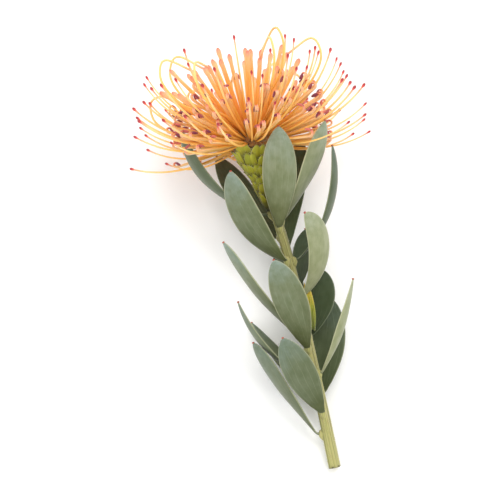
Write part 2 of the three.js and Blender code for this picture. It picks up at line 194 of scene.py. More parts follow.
class StemSettings(bpy.types.PropertyGroup):
    """Sizes and colours of the stem and its side shoot."""

    cut_radius: length_setting("Cut radius", "Radius of the stem at its cut end", STEM_RADIUS_CUT)
    top_radius: length_setting("Top radius", "Radius of the stem under the flower stalk", STEM_RADIUS_TOP)
    hairs: count_setting("Hairs", "Short hairs on the bark", 900, 0, 4000)
    bark_colour: colour_setting("Bark", "Colour of the young bark", "A8A664")
    wood_colour: colour_setting("Cut wood", "Colour of the fresh cut", "D9CFA4")


class InvolucreSettings(bpy.types.PropertyGroup):
    """Sizes and colours of the flower stalk and its bracts."""

    bracts: count_setting("Bracts", "Overlapping bracts on the flower stalk", 64, CAD_BRACTS, 150)
    bract_thickness: length_setting("Bract thickness", "Thickness of a bract in its middle", 0.5)
    bract_colour: colour_setting("Bract", "Colour of the bracts", "B0AA1E")
    hair_colour: colour_setting("Hair", "Colour of the hairs along the bracts", "D8D3B4")


class BloomSettings(bpy.types.PropertyGroup):
    """Sizes and colours of the flower head."""

    florets_between: count_setting("Florets between", "Tubes and bands among the CAD florets", 72, 0, 300)
    pin_length: length_setting("Pin length", "Length of an open pin", PIN_LENGTH)
    pin_radius: length_setting("Pin radius", "Radius of a pin in its middle", 0.55)
    band_length: length_setting("Band length", "Length of a petal band up to its curl", 28)
    band_width: length_setting("Band width", "Width of a petal band", 2.0)
    band_thickness: length_setting("Band thickness", "Thickness of a petal band", 0.4)
    curl_radius: length_setting("Curl radius", "Radius of the roll at the end of a petal band", 1.7)
    tube_length: length_setting("Tube length", "Length of a closed floret", 42)
    tube_radius: length_setting("Tube radius", "Radius of a closed floret", 1.0)
    wool: count_setting("Wool", "Woolly hairs round the feet of the florets", 1800, 0, 6000)
    band_colour: colour_setting("Band", "Colour of the petal bands", "FCBB60")
    band_inside_colour: colour_setting("Band inside", "Colour of the petal bands before their curl", "FCC694")
    curl_colour: colour_setting("Curl", "Colour of the curled ends", "E0786A")
    limb_colour: colour_setting("Limb", "Colour of the dark tips in the curls", "8C4256")
    pin_colour: colour_setting("Pin", "Colour of the pins", "FCBE58")
    presenter_colour: colour_setting("Pollen presenter", "Colour of the pins' tips", "B84048")


class LeafSettings(bpy.types.PropertyGroup):
    """Sizes and colours of the leaves."""

    margin_thickness: length_setting("Margin thickness", "Thickness of a leaf at its margin", 0.35)
    # The foot colour is the leaf's olive with painted shade in it; the tip colour is its grey-green with a
    # painted bluish sky reflection.
    foot_colour_and_shade: colour_setting("Foot", "Colour of a leaf near the stem", "525828")
    middle_colour: colour_setting("Middle", "Colour of a leaf's middle", "727A5C")
    tip_colour_and_sky_reflection: colour_setting("Tip", "Colour of a leaf near its tip", "86958C")
    pale_colour: colour_setting("Pale leaf", "Colour that young leaves turn towards", "B2B48C")
    # The dark leaf colour is painted shade: leaves that lie in shade are mixed towards it by their tone.
    painted_shade_colour: colour_setting("Dark leaf", "Colour that old leaves turn towards", "394A2C")
    gland_colour: colour_setting("Tip gland", "Colour of the hard point at a leaf's tip", "B04A3C")


class StageSettings(bpy.types.PropertyGroup):
    """Camera and light."""

    camera_elevation: number_setting(
        "Elevation", "How steeply the camera looks down", math.radians(76), subtype="ANGLE"
    )
    camera_distance: length_setting("Distance", "From the camera to the middle of the flower", 900, 100)
    view_height: length_setting("View height", "Height of the view at the flower", 232, 10)
    key_power: number_setting("Key light", "Power of the lamp above the bloom", 6.5, min=0, unit="POWER")
    fill_power: number_setting("Fill light", "Power of the lamp on the other side", 2.5, min=0, unit="POWER")
    sky_strength: number_setting("Surround", "Brightness of the white room", 1.03, min=0)
    floor_colour: colour_setting("Floor", "Colour of the table", "FCFCFB")


# ---- lines ----------------------------------------------------------------------------------------------


def mix(a, b, t):
    """The value a share t of the way from a to b."""
    return a + (b - a) * t


def spaced(count):
    """Stations from 0 to 1."""
    return [i / count for i in range(count + 1)]


def profile_at(profile, t):
    """The value at t of a list of (place, value), straight between its places."""
    for (low, first), (high, last) in zip(profile, profile[1:]):
        if t <= high:
            return mix(first, last, max(0, (t - low) / (high - low)))
    return profile[-1][1]


def seeded(seed):
    """Numbers from 0 to 1 that are the same in every run."""
    state = seed
    while True:
        state = (state * 1664525 + 1013904223) % 4294967296
        yield state / 4294967296


def smooth_line(places, count):
    """Evenly spaced points on the smooth line through the places."""
    ends = [2 * places[0] - places[1], *places, 2 * places[-1] - places[-2]]

    def at(share):
        place = share * (len(places) - 1)
        index = min(int(place), len(places) - 2)
        before, start, end, after = ends[index : index + 4]
        low, gap, high = ((b - a).length ** 0.5 for a, b in ((before, start), (start, end), (end, after)))
        first = (start - before) * (gap / low) - (end - before) * (gap / (low + gap)) + (end - start)
        last = (end - start) - (after - start) * (gap / (gap + high)) + (after - end) * (gap / high)
        t = place - index
        ramp = t * t * (3 - 2 * t)
        return start * (1 - ramp) + end * ramp + first * (t * (1 - t) ** 2) - last * (t * t * (1 - t))

    samples = [at(i / 200) for i in range(201)]
    run = [0.0]
    for a, b in zip(samples, samples[1:]):
        run.append(run[-1] + (b - a).length)
    points = []
    for step in range(count + 1):
        goal = run[-1] * step / count
        index = min(max(bisect_left(run, goal) - 1, 0), 199)
        points.append(at((index + (goal - run[index]) / (run[index + 1] - run[index])) / 200))
    return points


def length_of(points):
    """The length of a line of points."""
    return sum((b - a).length for a, b in zip(points, points[1:]))


def point_at(points, t):
    """The point a share t of the way along a line of points, on a smooth curve through them."""
    last = len(points) - 1
    place = min(max(t, 0), 1) * last
    index = min(int(place), last - 1)
    share = place - index
    start, end = points[index], points[index + 1]
    slope_in = (end - points[index - 1]) / 2 if index else end - start
    slope_out = (points[index + 2] - start) / 2 if index + 2 <= last else end - start
    point = start.lerp(end, share * share * (3 - 2 * share))
    return point + slope_in * (share * (1 - share) ** 2) - slope_out * (share * share * (1 - share))


def across(points, t, side):
    """Directions at t on a line: along it, across it near side, and out of the plane of those two."""
    along = (point_at(points, t + 0.02) - point_at(points, t - 0.02)).normalized()
    right = (side - along * side.dot(along)).normalized()
    return along, right, right.cross(along)


def grow(start, length, heading, spill, clearance, steps=30):
    """Points of a shoot that follows heading(t), and bends level towards spill just above the table."""
    points = [start.copy()]
    for i in range(steps):
        direction = heading((i + 0.5) / steps)
        steepest = max(points[-1].z - clearance, 0) / LANDING_REACH
        excess = -direction.z - steepest
        if excess > 0:
            direction.z = -steepest
            direction = (direction + spill * excess).normalized()
        points.append(points[-1] + direction * (length / steps))
    return points


def swelling(t, low, high, power):
    """How thick a rounded swelling is at t: part of half a wave, from low to high, raised to a power."""
    return math.sin(math.pi * mix(low, high, t)) ** power


def kept_above(z, low):
    """A height that never comes down to the table: below EASING_HEIGHT it eases off towards low."""
    room = EASING_HEIGHT - low
    return z if z > EASING_HEIGHT else low + room * math.exp((z - EASING_HEIGHT) / room)


STEM_POINTS = smooth_line([Vector(place) for place in STEM_LINE], 60)
STEM_LENGTH = length_of(STEM_POINTS)


def stem_radius(t):
    """The CAD stem's radius."""
    return mix(STEM_RADIUS_CUT, STEM_RADIUS_TOP, t)


def bloom_axis():
    """The direction that the bloom faces."""
    lean, lift = math.radians(BLOOM_LEAN), math.radians(BLOOM_LIFT)
    return Vector((-math.sin(lean) * math.cos(lift), math.cos(lean) * math.cos(lift), math.sin(lift)))


AXIS = bloom_axis()
BLOOM_RIGHT = AXIS.cross(UP).normalized()
BLOOM_UP = BLOOM_RIGHT.cross(AXIS)
STALK_POINTS = smooth_line([STEM_POINTS[-1], Vector(STALK_MIDDLE), HEAD_BASE - 5 * AXIS, HEAD_BASE], 24)
STALK_LENGTH = length_of(STALK_POINTS)


def stalk_radius(t):
    """The flower stalk's radius: even at first, then a smooth flare into the cup."""
    flare = max(0, (t - 0.5) / 0.5)
    return STALK_RADIUS + 0.4 * t + (CUP_RADIUS - STALK_RADIUS - 0.4) * flare**1.8


def outward(polar, azimuth):
    """The direction at polar degrees from the bloom's axis and azimuth degrees round it."""
    polar, azimuth = math.radians(polar), math.radians(azimuth)
    aside = BLOOM_RIGHT * math.cos(azimuth) + BLOOM_UP * math.sin(azimuth)
    return AXIS * math.cos(polar) + aside * math.sin(polar)


def radial_at(points, t, turn):
    """Directions at t on a stem: along it, and out of it at turn degrees from the right over the top."""
    along, right, out = across(points, t, X_AXIS)
    turn = math.radians(turn)
    return along, right * math.cos(turn) + out * math.sin(turn)


# ---- leaf shape -----------------------------------------------------------------------------------------


def leaf_outline(t):
    """Half a blade's width as a share of its widest: a narrow foot and a blunt point."""
    widest = 0.56
    if t < widest:
        return mix(LEAF_FOOT_SHARE, 1, math.sin((math.pi / 2) * (t / widest)) ** 1.3)
    return max((1 - ((t - widest) / (1 - widest)) ** 2.3) ** 0.72, 0.06)


def leaf_line(at, turn, length, splay, sway):
    """The middle line of a leaf, and the direction across its foot."""
    station = 1 - at / STEM_LENGTH
    along, radial = radial_at(STEM_POINTS, station, turn)
    aside = along.cross(radial)
    foot = point_at(STEM_POINTS, station) + radial * (stem_radius(station) + SEAT_GAP)

    def heading(t):
        clasp = (85 - splay[0]) * max(0, 1 - t / 0.06)
        off, sideways = math.radians(mix(*splay, t) + clasp), math.radians(mix(*sway, t))
        level = along * math.cos(sideways) + aside * math.sin(sideways)
        return level * math.cos(off) + radial * math.sin(off)

    spill = Vector((along.x + radial.x, along.y + radial.y, 0)).normalized()
    return grow(foot, length, heading, spill, 1.2, 50), aside


LEAF_LINES = [leaf_line(at, turn, length, splay, sway) for at, turn, length, _, splay, sway, _, _ in LEAVES]


def blade_row(leaf, t):
    """A leaf's cross section at t: its middle, the directions across and through it, and half its width."""
    _, _, _, width, _, _, twist, _ = LEAVES[leaf]
    points, aside = LEAF_LINES[leaf]
    along, right, out = across(points, t, aside)
    turned = Matrix.Rotation(math.radians(twist * t), 3, along)
    return point_at(points, t), turned @ right, turned @ out, width / 2 * leaf_outline(t)


def blade_middle(row, t, column):
    """A point of the blade's middle surface: column is -1 at one margin and 1 at the other."""
    middle, right, out, half = row
    point = middle + right * (half * column) - out * (LEAF_CUP * half * min(1, t / 0.1) * column**2)
    point.z = kept_above(point.z, LEAF_THICKNESS)
    return point


def leaf_places():
    """A search tree of places on the blades that reach up to the bloom."""
    places = []
    for leaf in range(len(LEAVES)):
        for t in spaced(24):
            row = blade_row(leaf, t)
            places += [blade_middle(row, t, column) for column in (-1, -0.5, 0, 0.5, 1)]
    near = [place for place in places if (place - HEAD_BASE).length < PIN_LENGTH + 15]
    tree = KDTree(len(near))
    for index, place in enumerate(near):
        tree.insert(place, index)
    tree.balance()
    return tree


# ---- floret lines ---------------------------------------------------------------------------------------


def foot_of(polar, azimuth):
    """Where a floret stands, sunk into the dome."""
    sunk, seat = 0.9, math.radians(min(polar, 90))
    height = DOME_RIM + 0.3 + (DOME_HEIGHT - DOME_RIM - sunk) * math.cos(seat)
    return HEAD_BASE + AXIS * height + outward(90, azimuth) * ((DOME_RADIUS - sunk) * math.sin(seat))


def spill_of(azimuth):
    """Which way a floret splays where it lies on the table: sideways and forwards."""
    way = BLOOM_RIGHT * (1.3 * math.cos(math.radians(azimuth))) + AXIS * 0.5
    return Vector((way.x, way.y, 0)).normalized()


def tube_line(polar, azimuth, length):
    """The line of a closed floret."""

    def heading(t):
        return outward(polar - 6 * t, azimuth)

    return grow(foot_of(polar, azimuth), length, heading, spill_of(azimuth), TUBE_CLEARANCE)


def pin_line(polar, azimuth, length):
    """The line of an open pin."""
    droop = 4 + 8 * (polar / LOWEST_FLORET) ** 3

    def heading(t):
        return outward(max(polar + droop - PIN_INCURVE * t**1.4, 6), azimuth)

    return grow(foot_of(polar, azimuth), length, heading, spill_of(azimuth), PIN_CLEARANCE)


def loop_line(polar, azimuth, tube, pin_length):
    """The line of a pin that is still caught in the tip of its tube, and bows out from it."""
    foot = foot_of(polar + 5, azimuth)
    places = [foot]
    for reach, lean in ((0.3, 20), (0.62, 25), (0.88, 17), (0.96, 7)):
        place = foot + outward(polar + lean, azimuth) * (reach * pin_length)
        place.z = kept_above(place.z, 1.2)
        places.append(place)
    return smooth_line([*places, point_at(tube, 0.97)], 30)


def band_line(polar, azimuth, length, curl_radius, last_turn):
    """The line of an open petal band, with its end rolled over towards the axis."""
    way = outward(polar, azimuth)
    strap = grow(foot_of(polar - 4, azimuth), length, lambda t: way.copy(), spill_of(azimuth), TUBE_CLEARANCE)
    along, _, out = across(strap, 1, outward(90, azimuth + 90))
    end = strap[-1]
    for step in range(1, 10):
        turn = math.radians(last_turn * step / 9)
        radius = curl_radius * mix(1, 0.72, step / 9)
        strap.append(end + out * (curl_radius - radius * math.cos(turn)) + along * (radius * math.sin(turn)))
    return strap


def floret_lines(bloom, polar, azimuth, grown, stage):
    """The lines of a closed, looped or open floret, longer the further it has grown, from 0 to 1."""
    pin_length = bloom.pin_length / MM
    if stage == "open":
        band_length = bloom.band_length / MM * mix(TOP_BAND_SHARE, 1, polar / LOWEST_FLORET)
        band_length *= mix(0.9, 1.08, grown)
        curl_radius, last_turn = bloom.curl_radius / MM * mix(1.1, 0.7, grown), mix(170, 260, grown)
        return {
            "pin": pin_line(polar, azimuth, pin_length * mix(0.94, 1.06, grown)),
            "band": band_line(polar, azimuth + 3, band_length, curl_radius, last_turn),
        }
    tube = tube_line(polar, azimuth, bloom.tube_length / MM * mix(0.84, 1.06, grown))
    if stage == "looped":
        return {"tube": tube, "loop": loop_line(polar, azimuth, tube, pin_length)}
    return {"tube": tube}


# Steps of polar angle and azimuth aside, nearest first, for a floret that a leaf has pushed over.
NUDGES = [(0, 0)] + [
    (-size * math.cos(math.radians(way)), size * math.sin(math.radians(way)))
    for size in range(5, 41, 5)
    for way in range(0, 360, 45)
]


def polar_of(share):
    """The angle from the axis within which that share of the florets stands."""
    return math.degrees(math.acos(1 - share**SPARSE_TOP * (1 - math.cos(math.radians(LOWEST_FLORET)))))


def all_florets(bloom):
    """Each floret as its lines and the direction across it: the CAD part's first, then those between."""
    leaves = leaf_places()

    def clear(lines):
        return all(leaves.find(point)[2] > LEAF_MARGIN for line in lines.values() for point in line[1:])

    found = []
    random = seeded(5)
    for i in range(CAD_FLORETS):
        polar = min(polar_of((i + 0.5) / CAD_FLORETS) + 9 * (next(random) - 0.5), LOWEST_FLORET)
        azimuth = i * GOLDEN_ANGLE + 16 * (next(random) - 0.5)
        grown = next(random)
        ripeness = polar + RIPENESS_SPREAD * (next(random) - 0.5)
        held = "looped" if ripeness > CLOSED_WITHIN and next(random) < 0.6 else "closed"
        stage = "open" if ripeness > LOOPED_WITHIN else held
        for tilt, turn in NUDGES:
            lines = floret_lines(bloom, min(polar + tilt, LOWEST_FLORET), azimuth + turn, grown, stage)
            if clear(lines):
                found.append((lines, outward(90, azimuth + turn + 90)))
                break
    random = seeded(23)
    for i in range(bloom.florets_between):
        polar = min(polar_of((i + 0.5) / bloom.florets_between) + 8 * (next(random) - 0.5), LOWEST_FLORET)
        azimuth = (i + 0.5) * GOLDEN_ANGLE + 24 * (next(random) - 0.5)
        stage = "open" if polar + RIPENESS_SPREAD * (next(random) - 0.5) > LOOPED_WITHIN else "closed"
        lines = floret_lines(bloom, polar, azimuth, next(random) - 0.3, stage)
        lines.pop("pin", None)
        if clear(lines):
            found.append((lines, outward(90, azimuth + 90)))
    return found


# ---- meshes ---------------------------------------------------------------------------------------------


def open_edges(bm):
    """The edges with a face on one side only."""
    return [edge for edge in bm.edges if edge.is_boundary]


def verts_in(made):
    """The points among what an operator has made."""
    return [part for part in made if isinstance(part, bmesh.types.BMVert)]


def spin_round(bm, profile, steps):
    """Spins a profile of (radius, height) round Z."""
    verts = [bm.verts.new((radius, 0, height)) for radius, height in profile]
    edges = [bm.edges.new(pair) for pair in zip(verts, verts[1:])]
    turn = {"cent": (0, 0, 0), "axis": UP, "angle": 2 * math.pi, "steps": steps, "use_merge": True}
    bmesh.ops.spin(bm, geom=verts + edges, **turn)
    bmesh.ops.remove_doubles(bm, verts=bm.verts[:], dist=0.001)


def stand_up(bm, place, right, out, along):
    """Turns a shape that stands on the origin to stand at a place, with its Z axis along."""
    turn = Matrix((right, -out, along)).transposed().to_4x4()
    bmesh.ops.transform(bm, verts=bm.verts[:], matrix=Matrix.Translation(place) @ turn)


def as_template(bm, name):
    """Keeps a small shape as a mesh that copies are made from."""
    bmesh.ops.recalc_face_normals(bm, faces=bm.faces[:])
    mesh = bpy.data.meshes.new(name)
    bm.to_mesh(mesh)
    bm.free()
    return mesh


def strand_template(sides, stations):
    """A straight closed strand of radius 1 along Z, with a ring at each station from 0 to 1."""
    bm = bmesh.new()
    bmesh.ops.create_circle(bm, segments=sides, radius=1)
    rim = bm.edges[:]
    for low, high in zip(stations, stations[1:]):
        made = bmesh.ops.extrude_edge_only(bm, edges=rim)["geom"]
        rim = [part for part in made if isinstance(part, bmesh.types.BMEdge) and part.is_boundary]
        bmesh.ops.translate(bm, verts=verts_in(made), vec=(0, 0, high - low))
    bmesh.ops.holes_fill(bm, edges=open_edges(bm), sides=0)
    return as_template(bm, "strand")


def hair_template():
    """A strand of three sides and two steps, for hairs that are made by the hundred."""
    return strand_template(3, [0, 0.5, 1])


def blade_template(columns, rows):
    """A flat plate, x from -1 to 1 across, y from 0 to 1 along, and z from -0.5 to 0.5 through."""
    bm = bmesh.new()
    bmesh.ops.create_grid(bm, x_segments=columns, y_segments=rows, size=1)
    bmesh.ops.translate(bm, verts=bm.verts[:], vec=(0, 1, 0))
    bmesh.ops.scale(bm, verts=bm.verts[:], vec=(1, 0.5, 1))
    lid = bmesh.ops.extrude_face_region(bm, geom=bm.faces[:])["geom"]
    bmesh.ops.translate(bm, verts=verts_in(lid), vec=(0, 0, 1))
    bmesh.ops.translate(bm, verts=bm.verts[:], vec=(0, 0, -0.5))
    return as_template(bm, "blade")


def new_piece():
    """An empty mesh. Its points will carry a place along and across, a tone and a lay on the surface."""
    bm = bmesh.new()
    for name in ("along", "across", "tone"):
        bm.verts.layers.float.new(name)
    bm.verts.layers.float_vector.new("lay")
    return bm


def add_copy(bm, template, place, tone=0.5):
    """Adds a copy of a template. place(x, y, z) gives where a point goes, how far along, and its lay."""
    first = len(bm.verts)
    bm.from_mesh(template)
    bm.verts.ensure_lookup_table()
    floats, lay_layer = bm.verts.layers.float, bm.verts.layers.float_vector["lay"]
    along_layer, across_layer, tone_layer = floats["along"], floats["across"], floats["tone"]
    for vert in bm.verts[first:]:
        vert[across_layer] = vert.co.x
        vert.co, along, (aside, run) = place(*vert.co)
        vert[along_layer] = along
        vert[tone_layer] = tone
        vert[lay_layer] = (aside * MM, run * MM, tone)


def add_strand(bm, template, points, side, radius_at, tone=0.5, span=(0, 1), lobes=0):
    """Adds a strand along the stretch `span` of a line. radius_at(t) is its radius at t of that stretch."""
    rows = {}
    run = length_of(points)

    def place(x, y, z):
        if z not in rows:
            t = mix(*span, z)
            rows[z] = (point_at(points, t), *across(points, t, side)[1:], radius_at(z), t)
        middle, right, out, radius, t = rows[z]
        angle = math.atan2(y, x)
        swell = radius * (1 + 0.07 * math.cos(lobes * angle) if lobes else 1)
        return middle + (right * x - out * y) * swell, z, (angle * radius, t * run)

    add_copy(bm, template, place, tone)


def add_blade(bm, template, row_at, thickness_at, run, tone=0.5):
    """Adds a blade. row_at(t) gives a function of x for its middle, the way through, and half its width."""
    rows = {}

    def place(x, y, z):
        if y not in rows:
            rows[y] = row_at(y)
        middle_at, out, half = rows[y]
        return middle_at(x) + out * (z * thickness_at(x, y)), y, (x * half, y * run)

    add_copy(bm, template, place, tone)


def add_hair(bm, template, root, tip, bend, radius, tone=0.5):
    """Adds a tapering hair from root to tip, bowed by bend."""
    points = [root, (root + tip) / 2 + bend, tip]
    side = X_AXIS if abs((tip - root).normalized().x) < 0.8 else UP
    add_strand(bm, template, points, side, lambda t: radius * mix(1, 0.3, t), tone)


def finish_piece(bm, name, material, slot, *nodes):
    """Makes a piece's object in metres. It rides on the flower and stands for the CAD nodes given."""
    old = bpy.data.objects.get(name)
    if old:
        bpy.data.objects.remove(old)
    for vert in bm.verts:
        vert.co.z = max(vert.co.z, 0)
    bmesh.ops.scale(bm, verts=bm.verts[:], vec=(MM, MM, MM))
    mesh = bpy.data.meshes.new(name)
    bm.to_mesh(mesh)
    bm.free()
    mesh.shade_smooth()
    mesh.materials.append(material)
    piece = bpy.data.objects.new(name, mesh)
    bpy.context.scene.collection.objects.link(piece)
    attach(piece, "root")
    if nodes:
        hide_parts(*nodes)


# ---- materials ------------------------------------------------------------------------------------------

# Colours that two finishes share. The florets' brownish foot is partly their wool and partly painted shade
# deep in the head.
WOOL_AND_SHADE_FOOT = [(0, "C4884A"), (0.1, "F4AE54")]
PIN_NECK = "F0A088"


def add(tree, kind, inputs=None, out=0, stops=(), **settings):
    """Adds a node and gives its output `out`. Sockets among its inputs are linked, the rest are values."""
    node = tree.nodes.new("ShaderNode" + kind)
    for name, value in settings.items():
        setattr(node, name, value)
    for name, value in (inputs or {}).items():
        if isinstance(value, bpy.types.NodeSocket):
            tree.links.new(value, node.inputs[name])
        else:
            node.inputs[name].default_value = value
    for index, (place, colour) in enumerate(stops):
        stop = node.color_ramp.elements[index] if index < 2 else node.color_ramp.elements.new(place)
        stop.position, stop.color = place, linear(colour) if isinstance(colour, str) else colour
    return node.outputs[out]


def new_material(name, reads=(), **constants):
    """A material, its node tree, and sockets that read the piece's own attributes.

    What is the same all over is set on the shader's own sockets.
    """
    material = bpy.data.materials.new(name)
    material.use_nodes = True
    tree = material.node_tree
    for socket, value in constants.items():
        tree.nodes["Principled BSDF"].inputs[socket.replace("_", " ")].default_value = value
    outputs = {attribute: "Vector" if attribute == "lay" else "Fac" for attribute in reads}
    sockets = [add(tree, "Attribute", out=out, attribute_name=read) for read, out in outputs.items()]
    return material, tree, *sockets


def dress(tree, colour, height=None, depth=0, strength=0.4):
    """Gives the shader its colour, and a pattern that raises the surface by up to depth, in millimetres."""
    shader = tree.nodes["Principled BSDF"]
    tree.links.new(colour, shader.inputs["Base Color"])
    if height is not None:
        bump = add(tree, "Bump", {"Height": height, "Distance": depth * MM, "Strength": strength})
        tree.links.new(bump, shader.inputs["Normal"])


def darker(colour, share):
    """A colour brought down to a share of its light."""
    return (*(channel * share for channel in colour[:3]), 1)


def streaks(tree, wide, long, detail=3):
    """Fine streaks along a shape, wide and long in millimetres."""
    lay = add(tree, "Attribute", out="Vector", attribute_name="lay")
    stretched = add(tree, "Mapping", {"Vector": lay, "Scale": (1 / (wide * MM), 1 / (long * MM), 9)})
    return add(tree, "TexNoise", {"Vector": stretched, "Scale": 1, "Detail": detail, "Roughness": 0.6})


def stained(tree, colour, pattern, low, high, stain, strength=1):
    """A colour with a stain over it, full where the pattern is at `low` and gone where it is at `high`."""
    tint = add(tree, "ValToRGB", {"Fac": pattern}, stops=[(low, (*stain, 1)), (high, (1, 1, 1, 1))])
    return add(tree, "Mix", {0: strength, 6: colour, 7: tint}, 2, data_type="RGBA", blend_type="MULTIPLY")


def petal_wax(name, stops, roughness=0.42):
    """Fresh petal tissue, grown in fine lengthwise cells under thin wax: satin, streaked, glowing through."""
    glow = {"Subsurface_Weight": 0.4, "Subsurface_Scale": 0.002, "Subsurface_Radius": (1.0, 0.7, 0.35)}
    reads = ("along", "tone")
    material, tree, along, tone = new_material(name, reads, Roughness=roughness, IOR=1.42, **glow)
    cells = streaks(tree, 0.35, 12, 1)
    colour = add(tree, "ValToRGB", {"Fac": along}, stops=stops)
    colour = stained(tree, colour, cells, 0.3, 0.7, (0.86, 0.74, 0.6), 0.45)
    dress(tree, stained(tree, colour, tone, 0, 0.6, (0.96, 0.86, 0.8)), cells, 0.06)
    return material


def petal_band_wax(bloom):
    """Petal bands: orange wax, peach further out, brownish at the foot for its wool and for painted shade,
    pink to maroon in the curl.
    """
    orange, maroon = bloom.band_colour, bloom.limb_colour
    strap = [(0.22, orange), (0.4, orange), (0.72, bloom.band_inside_colour), (0.84, "F2AE8C")]
    curl = [(0.91, bloom.curl_colour), (0.97, maroon), (1, maroon)]
    return petal_wax("band_petal_wax", WOOL_AND_SHADE_FOOT + strap + curl)


def closed_tube_wax(bloom):
    """Closed florets: orange wax, brownish at the foot for wool and painted shade, paler outwards, with pink
    felt over the swollen tip.
    """
    orange = bloom.band_colour
    tube = [(0.25, orange), (0.68, orange), (0.92, bloom.band_inside_colour)]
    return petal_wax("tube_petal_wax", WOOL_AND_SHADE_FOOT + tube + [(0.965, "F4A888"), (1, bloom.curl_colour)], 0.5)


def pin_wax(bloom):
    """Pins: firm smooth styles under a wax bloom, yellow-orange, paler outwards and pink at the neck."""
    stops = [(0, "F0A63C"), (0.15, bloom.pin_colour), (0.6, "FCC672"), (0.9, "FAD69C"), (1, PIN_NECK)]
    return petal_wax("pin_style_wax", stops, 0.35)


def presenter_wax(bloom):
    """Pollen presenters: the pins' club tips, dusted with pollen: pink, then red, then a dark point."""
    red = bloom.presenter_colour
    stops = [(0, PIN_NECK), (0.25, "E0685A"), (0.55, red), (1, darker(red, 0.6))]
    return petal_wax("presenter_pollen_skin", stops, 0.5)


def limb_felt(bloom):
    """Limbs: the petals' tips, felted outside and dark with spent anthers inside."""
    sheen = {"Sheen_Weight": 0.3, "Sheen_Roughness": 0.4}
    material, tree, tone = new_material("limb_felt", ["tone"], Roughness=0.7, IOR=1.4, **sheen)
    patches = streaks(tree, 0.4, 0.8)
    stops = [(0, bloom.limb_colour), (0.4, bloom.limb_colour), (0.8, bloom.curl_colour)]
    colour = add(tree, "ValToRGB", {"Fac": tone}, stops=stops)
    dress(tree, stained(tree, colour, patches, 0.35, 0.65, (0.6, 0.55, 0.6), 0.8), patches, 0.1)
    return material


def hair_silk(name, colour):
    """Silky plant hairs: hollow and pale, so they catch the light."""
    material, tree, tone = new_material(name, ["tone"], Roughness=0.55, IOR=1.45, Sheen_Weight=0.4)
    stops = [(0, darker(colour, 0.7)), (1, colour)]
    dress(tree, add(tree, "ValToRGB", {"Fac": tone}, stops=stops))
    return material


def bark_felt(stem):
    """Young bark, ribbed and felted with short hair: olive, yellower on the ribs and reddish in streaks."""
    sheen = {"Sheen_Weight": 0.25, "Sheen_Roughness": 0.5}
    material, tree = new_material("stem_bark_felt", Roughness=0.8, IOR=1.45, **sheen)
    bark, ribs = stem.bark_colour, streaks(tree, 0.8, 40, 1)
    stops = [(0.35, darker(bark, 0.5)), (0.5, bark), (0.62, "AFA96E")]
    colour = add(tree, "ValToRGB", {"Fac": ribs}, stops=stops)
    grain = {"Value": streaks(tree, 0.4, 3, 5), "From Min": 0.52, "From Max": 0.72, "To Max": 0.45}
    flecks = add(tree, "MapRange", grain)
    colour = add(tree, "Mix", {0: flecks, 6: colour, 7: linear("7E5A44")}, 2, data_type="RGBA")
    dress(tree, colour, ribs, 0.35, 0.6)
    return material


def cut_wood(stem):
    """Freshly cut green wood: moist and pale with fine rays, a green bark ring and a whiter pith."""
    material, tree, along = new_material("stem_cut_wood", ["along"], Roughness=0.6, IOR=1.45)
    pith, bark = [(0, "EFE8CB"), (0.22, "E6DDB8")], [(0.84, "8F9A52"), (1, "6E6A44")]
    wood = [(0.3, stem.wood_colour), (0.78, stem.wood_colour)]
    rings = add(tree, "ValToRGB", {"Fac": along}, stops=pith + wood + bark)
    rays = streaks(tree, 0.25, 0.5, 4)
    dress(tree, stained(tree, rings, rays, 0.35, 0.65, (0.78, 0.74, 0.66), 0.8), rays, 0.1)
    return material


def bract_skin(involucre):
    """Bracts: leathery scales with painted shade at the foot, where the bract below covers it, yellow-green
    above, with pale margins and brown tips.
    """
    reads = ("along", "across", "tone")
    felt = {"Roughness": 0.55, "Sheen_Weight": 0.08, "Sheen_Roughness": 0.5}
    material, tree, along, across, tone = new_material("bract_leather", reads, IOR=1.45, **felt)
    green = involucre.bract_colour
    fibre = streaks(tree, 0.4, 3)
    # Painted shade: each bract's foot is darkened as if in the crevice under its neighbour.
    painted_crevice_shade = [(0, darker(green, 0.2)), (0.36, darker(green, 0.4))]
    stops = painted_crevice_shade + [(0.56, green), (0.85, "C6C43C"), (0.95, "A8A04A"), (1, "6A4F28")]
    colour = add(tree, "ValToRGB", {"Fac": along}, stops=stops)
    colour = stained(tree, colour, fibre, 0.3, 0.7, (0.66, 0.7, 0.5), 0.8)
    colour = stained(tree, colour, tone, 0, 0.7, (0.72, 0.78, 0.66))
    edge = add(tree, "Math", {0: across}, operation="ABSOLUTE")
    margin = add(tree, "MapRange", {"Value": edge, "From Min": 0.8, "From Max": 1, "To Max": 0.7})
    past_the_fold = add(tree, "MapRange", {"Value": along, "From Min": 0.35, "From Max": 0.6})
    pale = add(tree, "Math", {0: margin, 1: past_the_fold}, operation="MULTIPLY")
    colour = add(tree, "Mix", {0: pale, 6: colour, 7: linear("C6C79A")}, 2, data_type="RGBA")
    dress(tree, colour, fibre, 0.15)
    return material


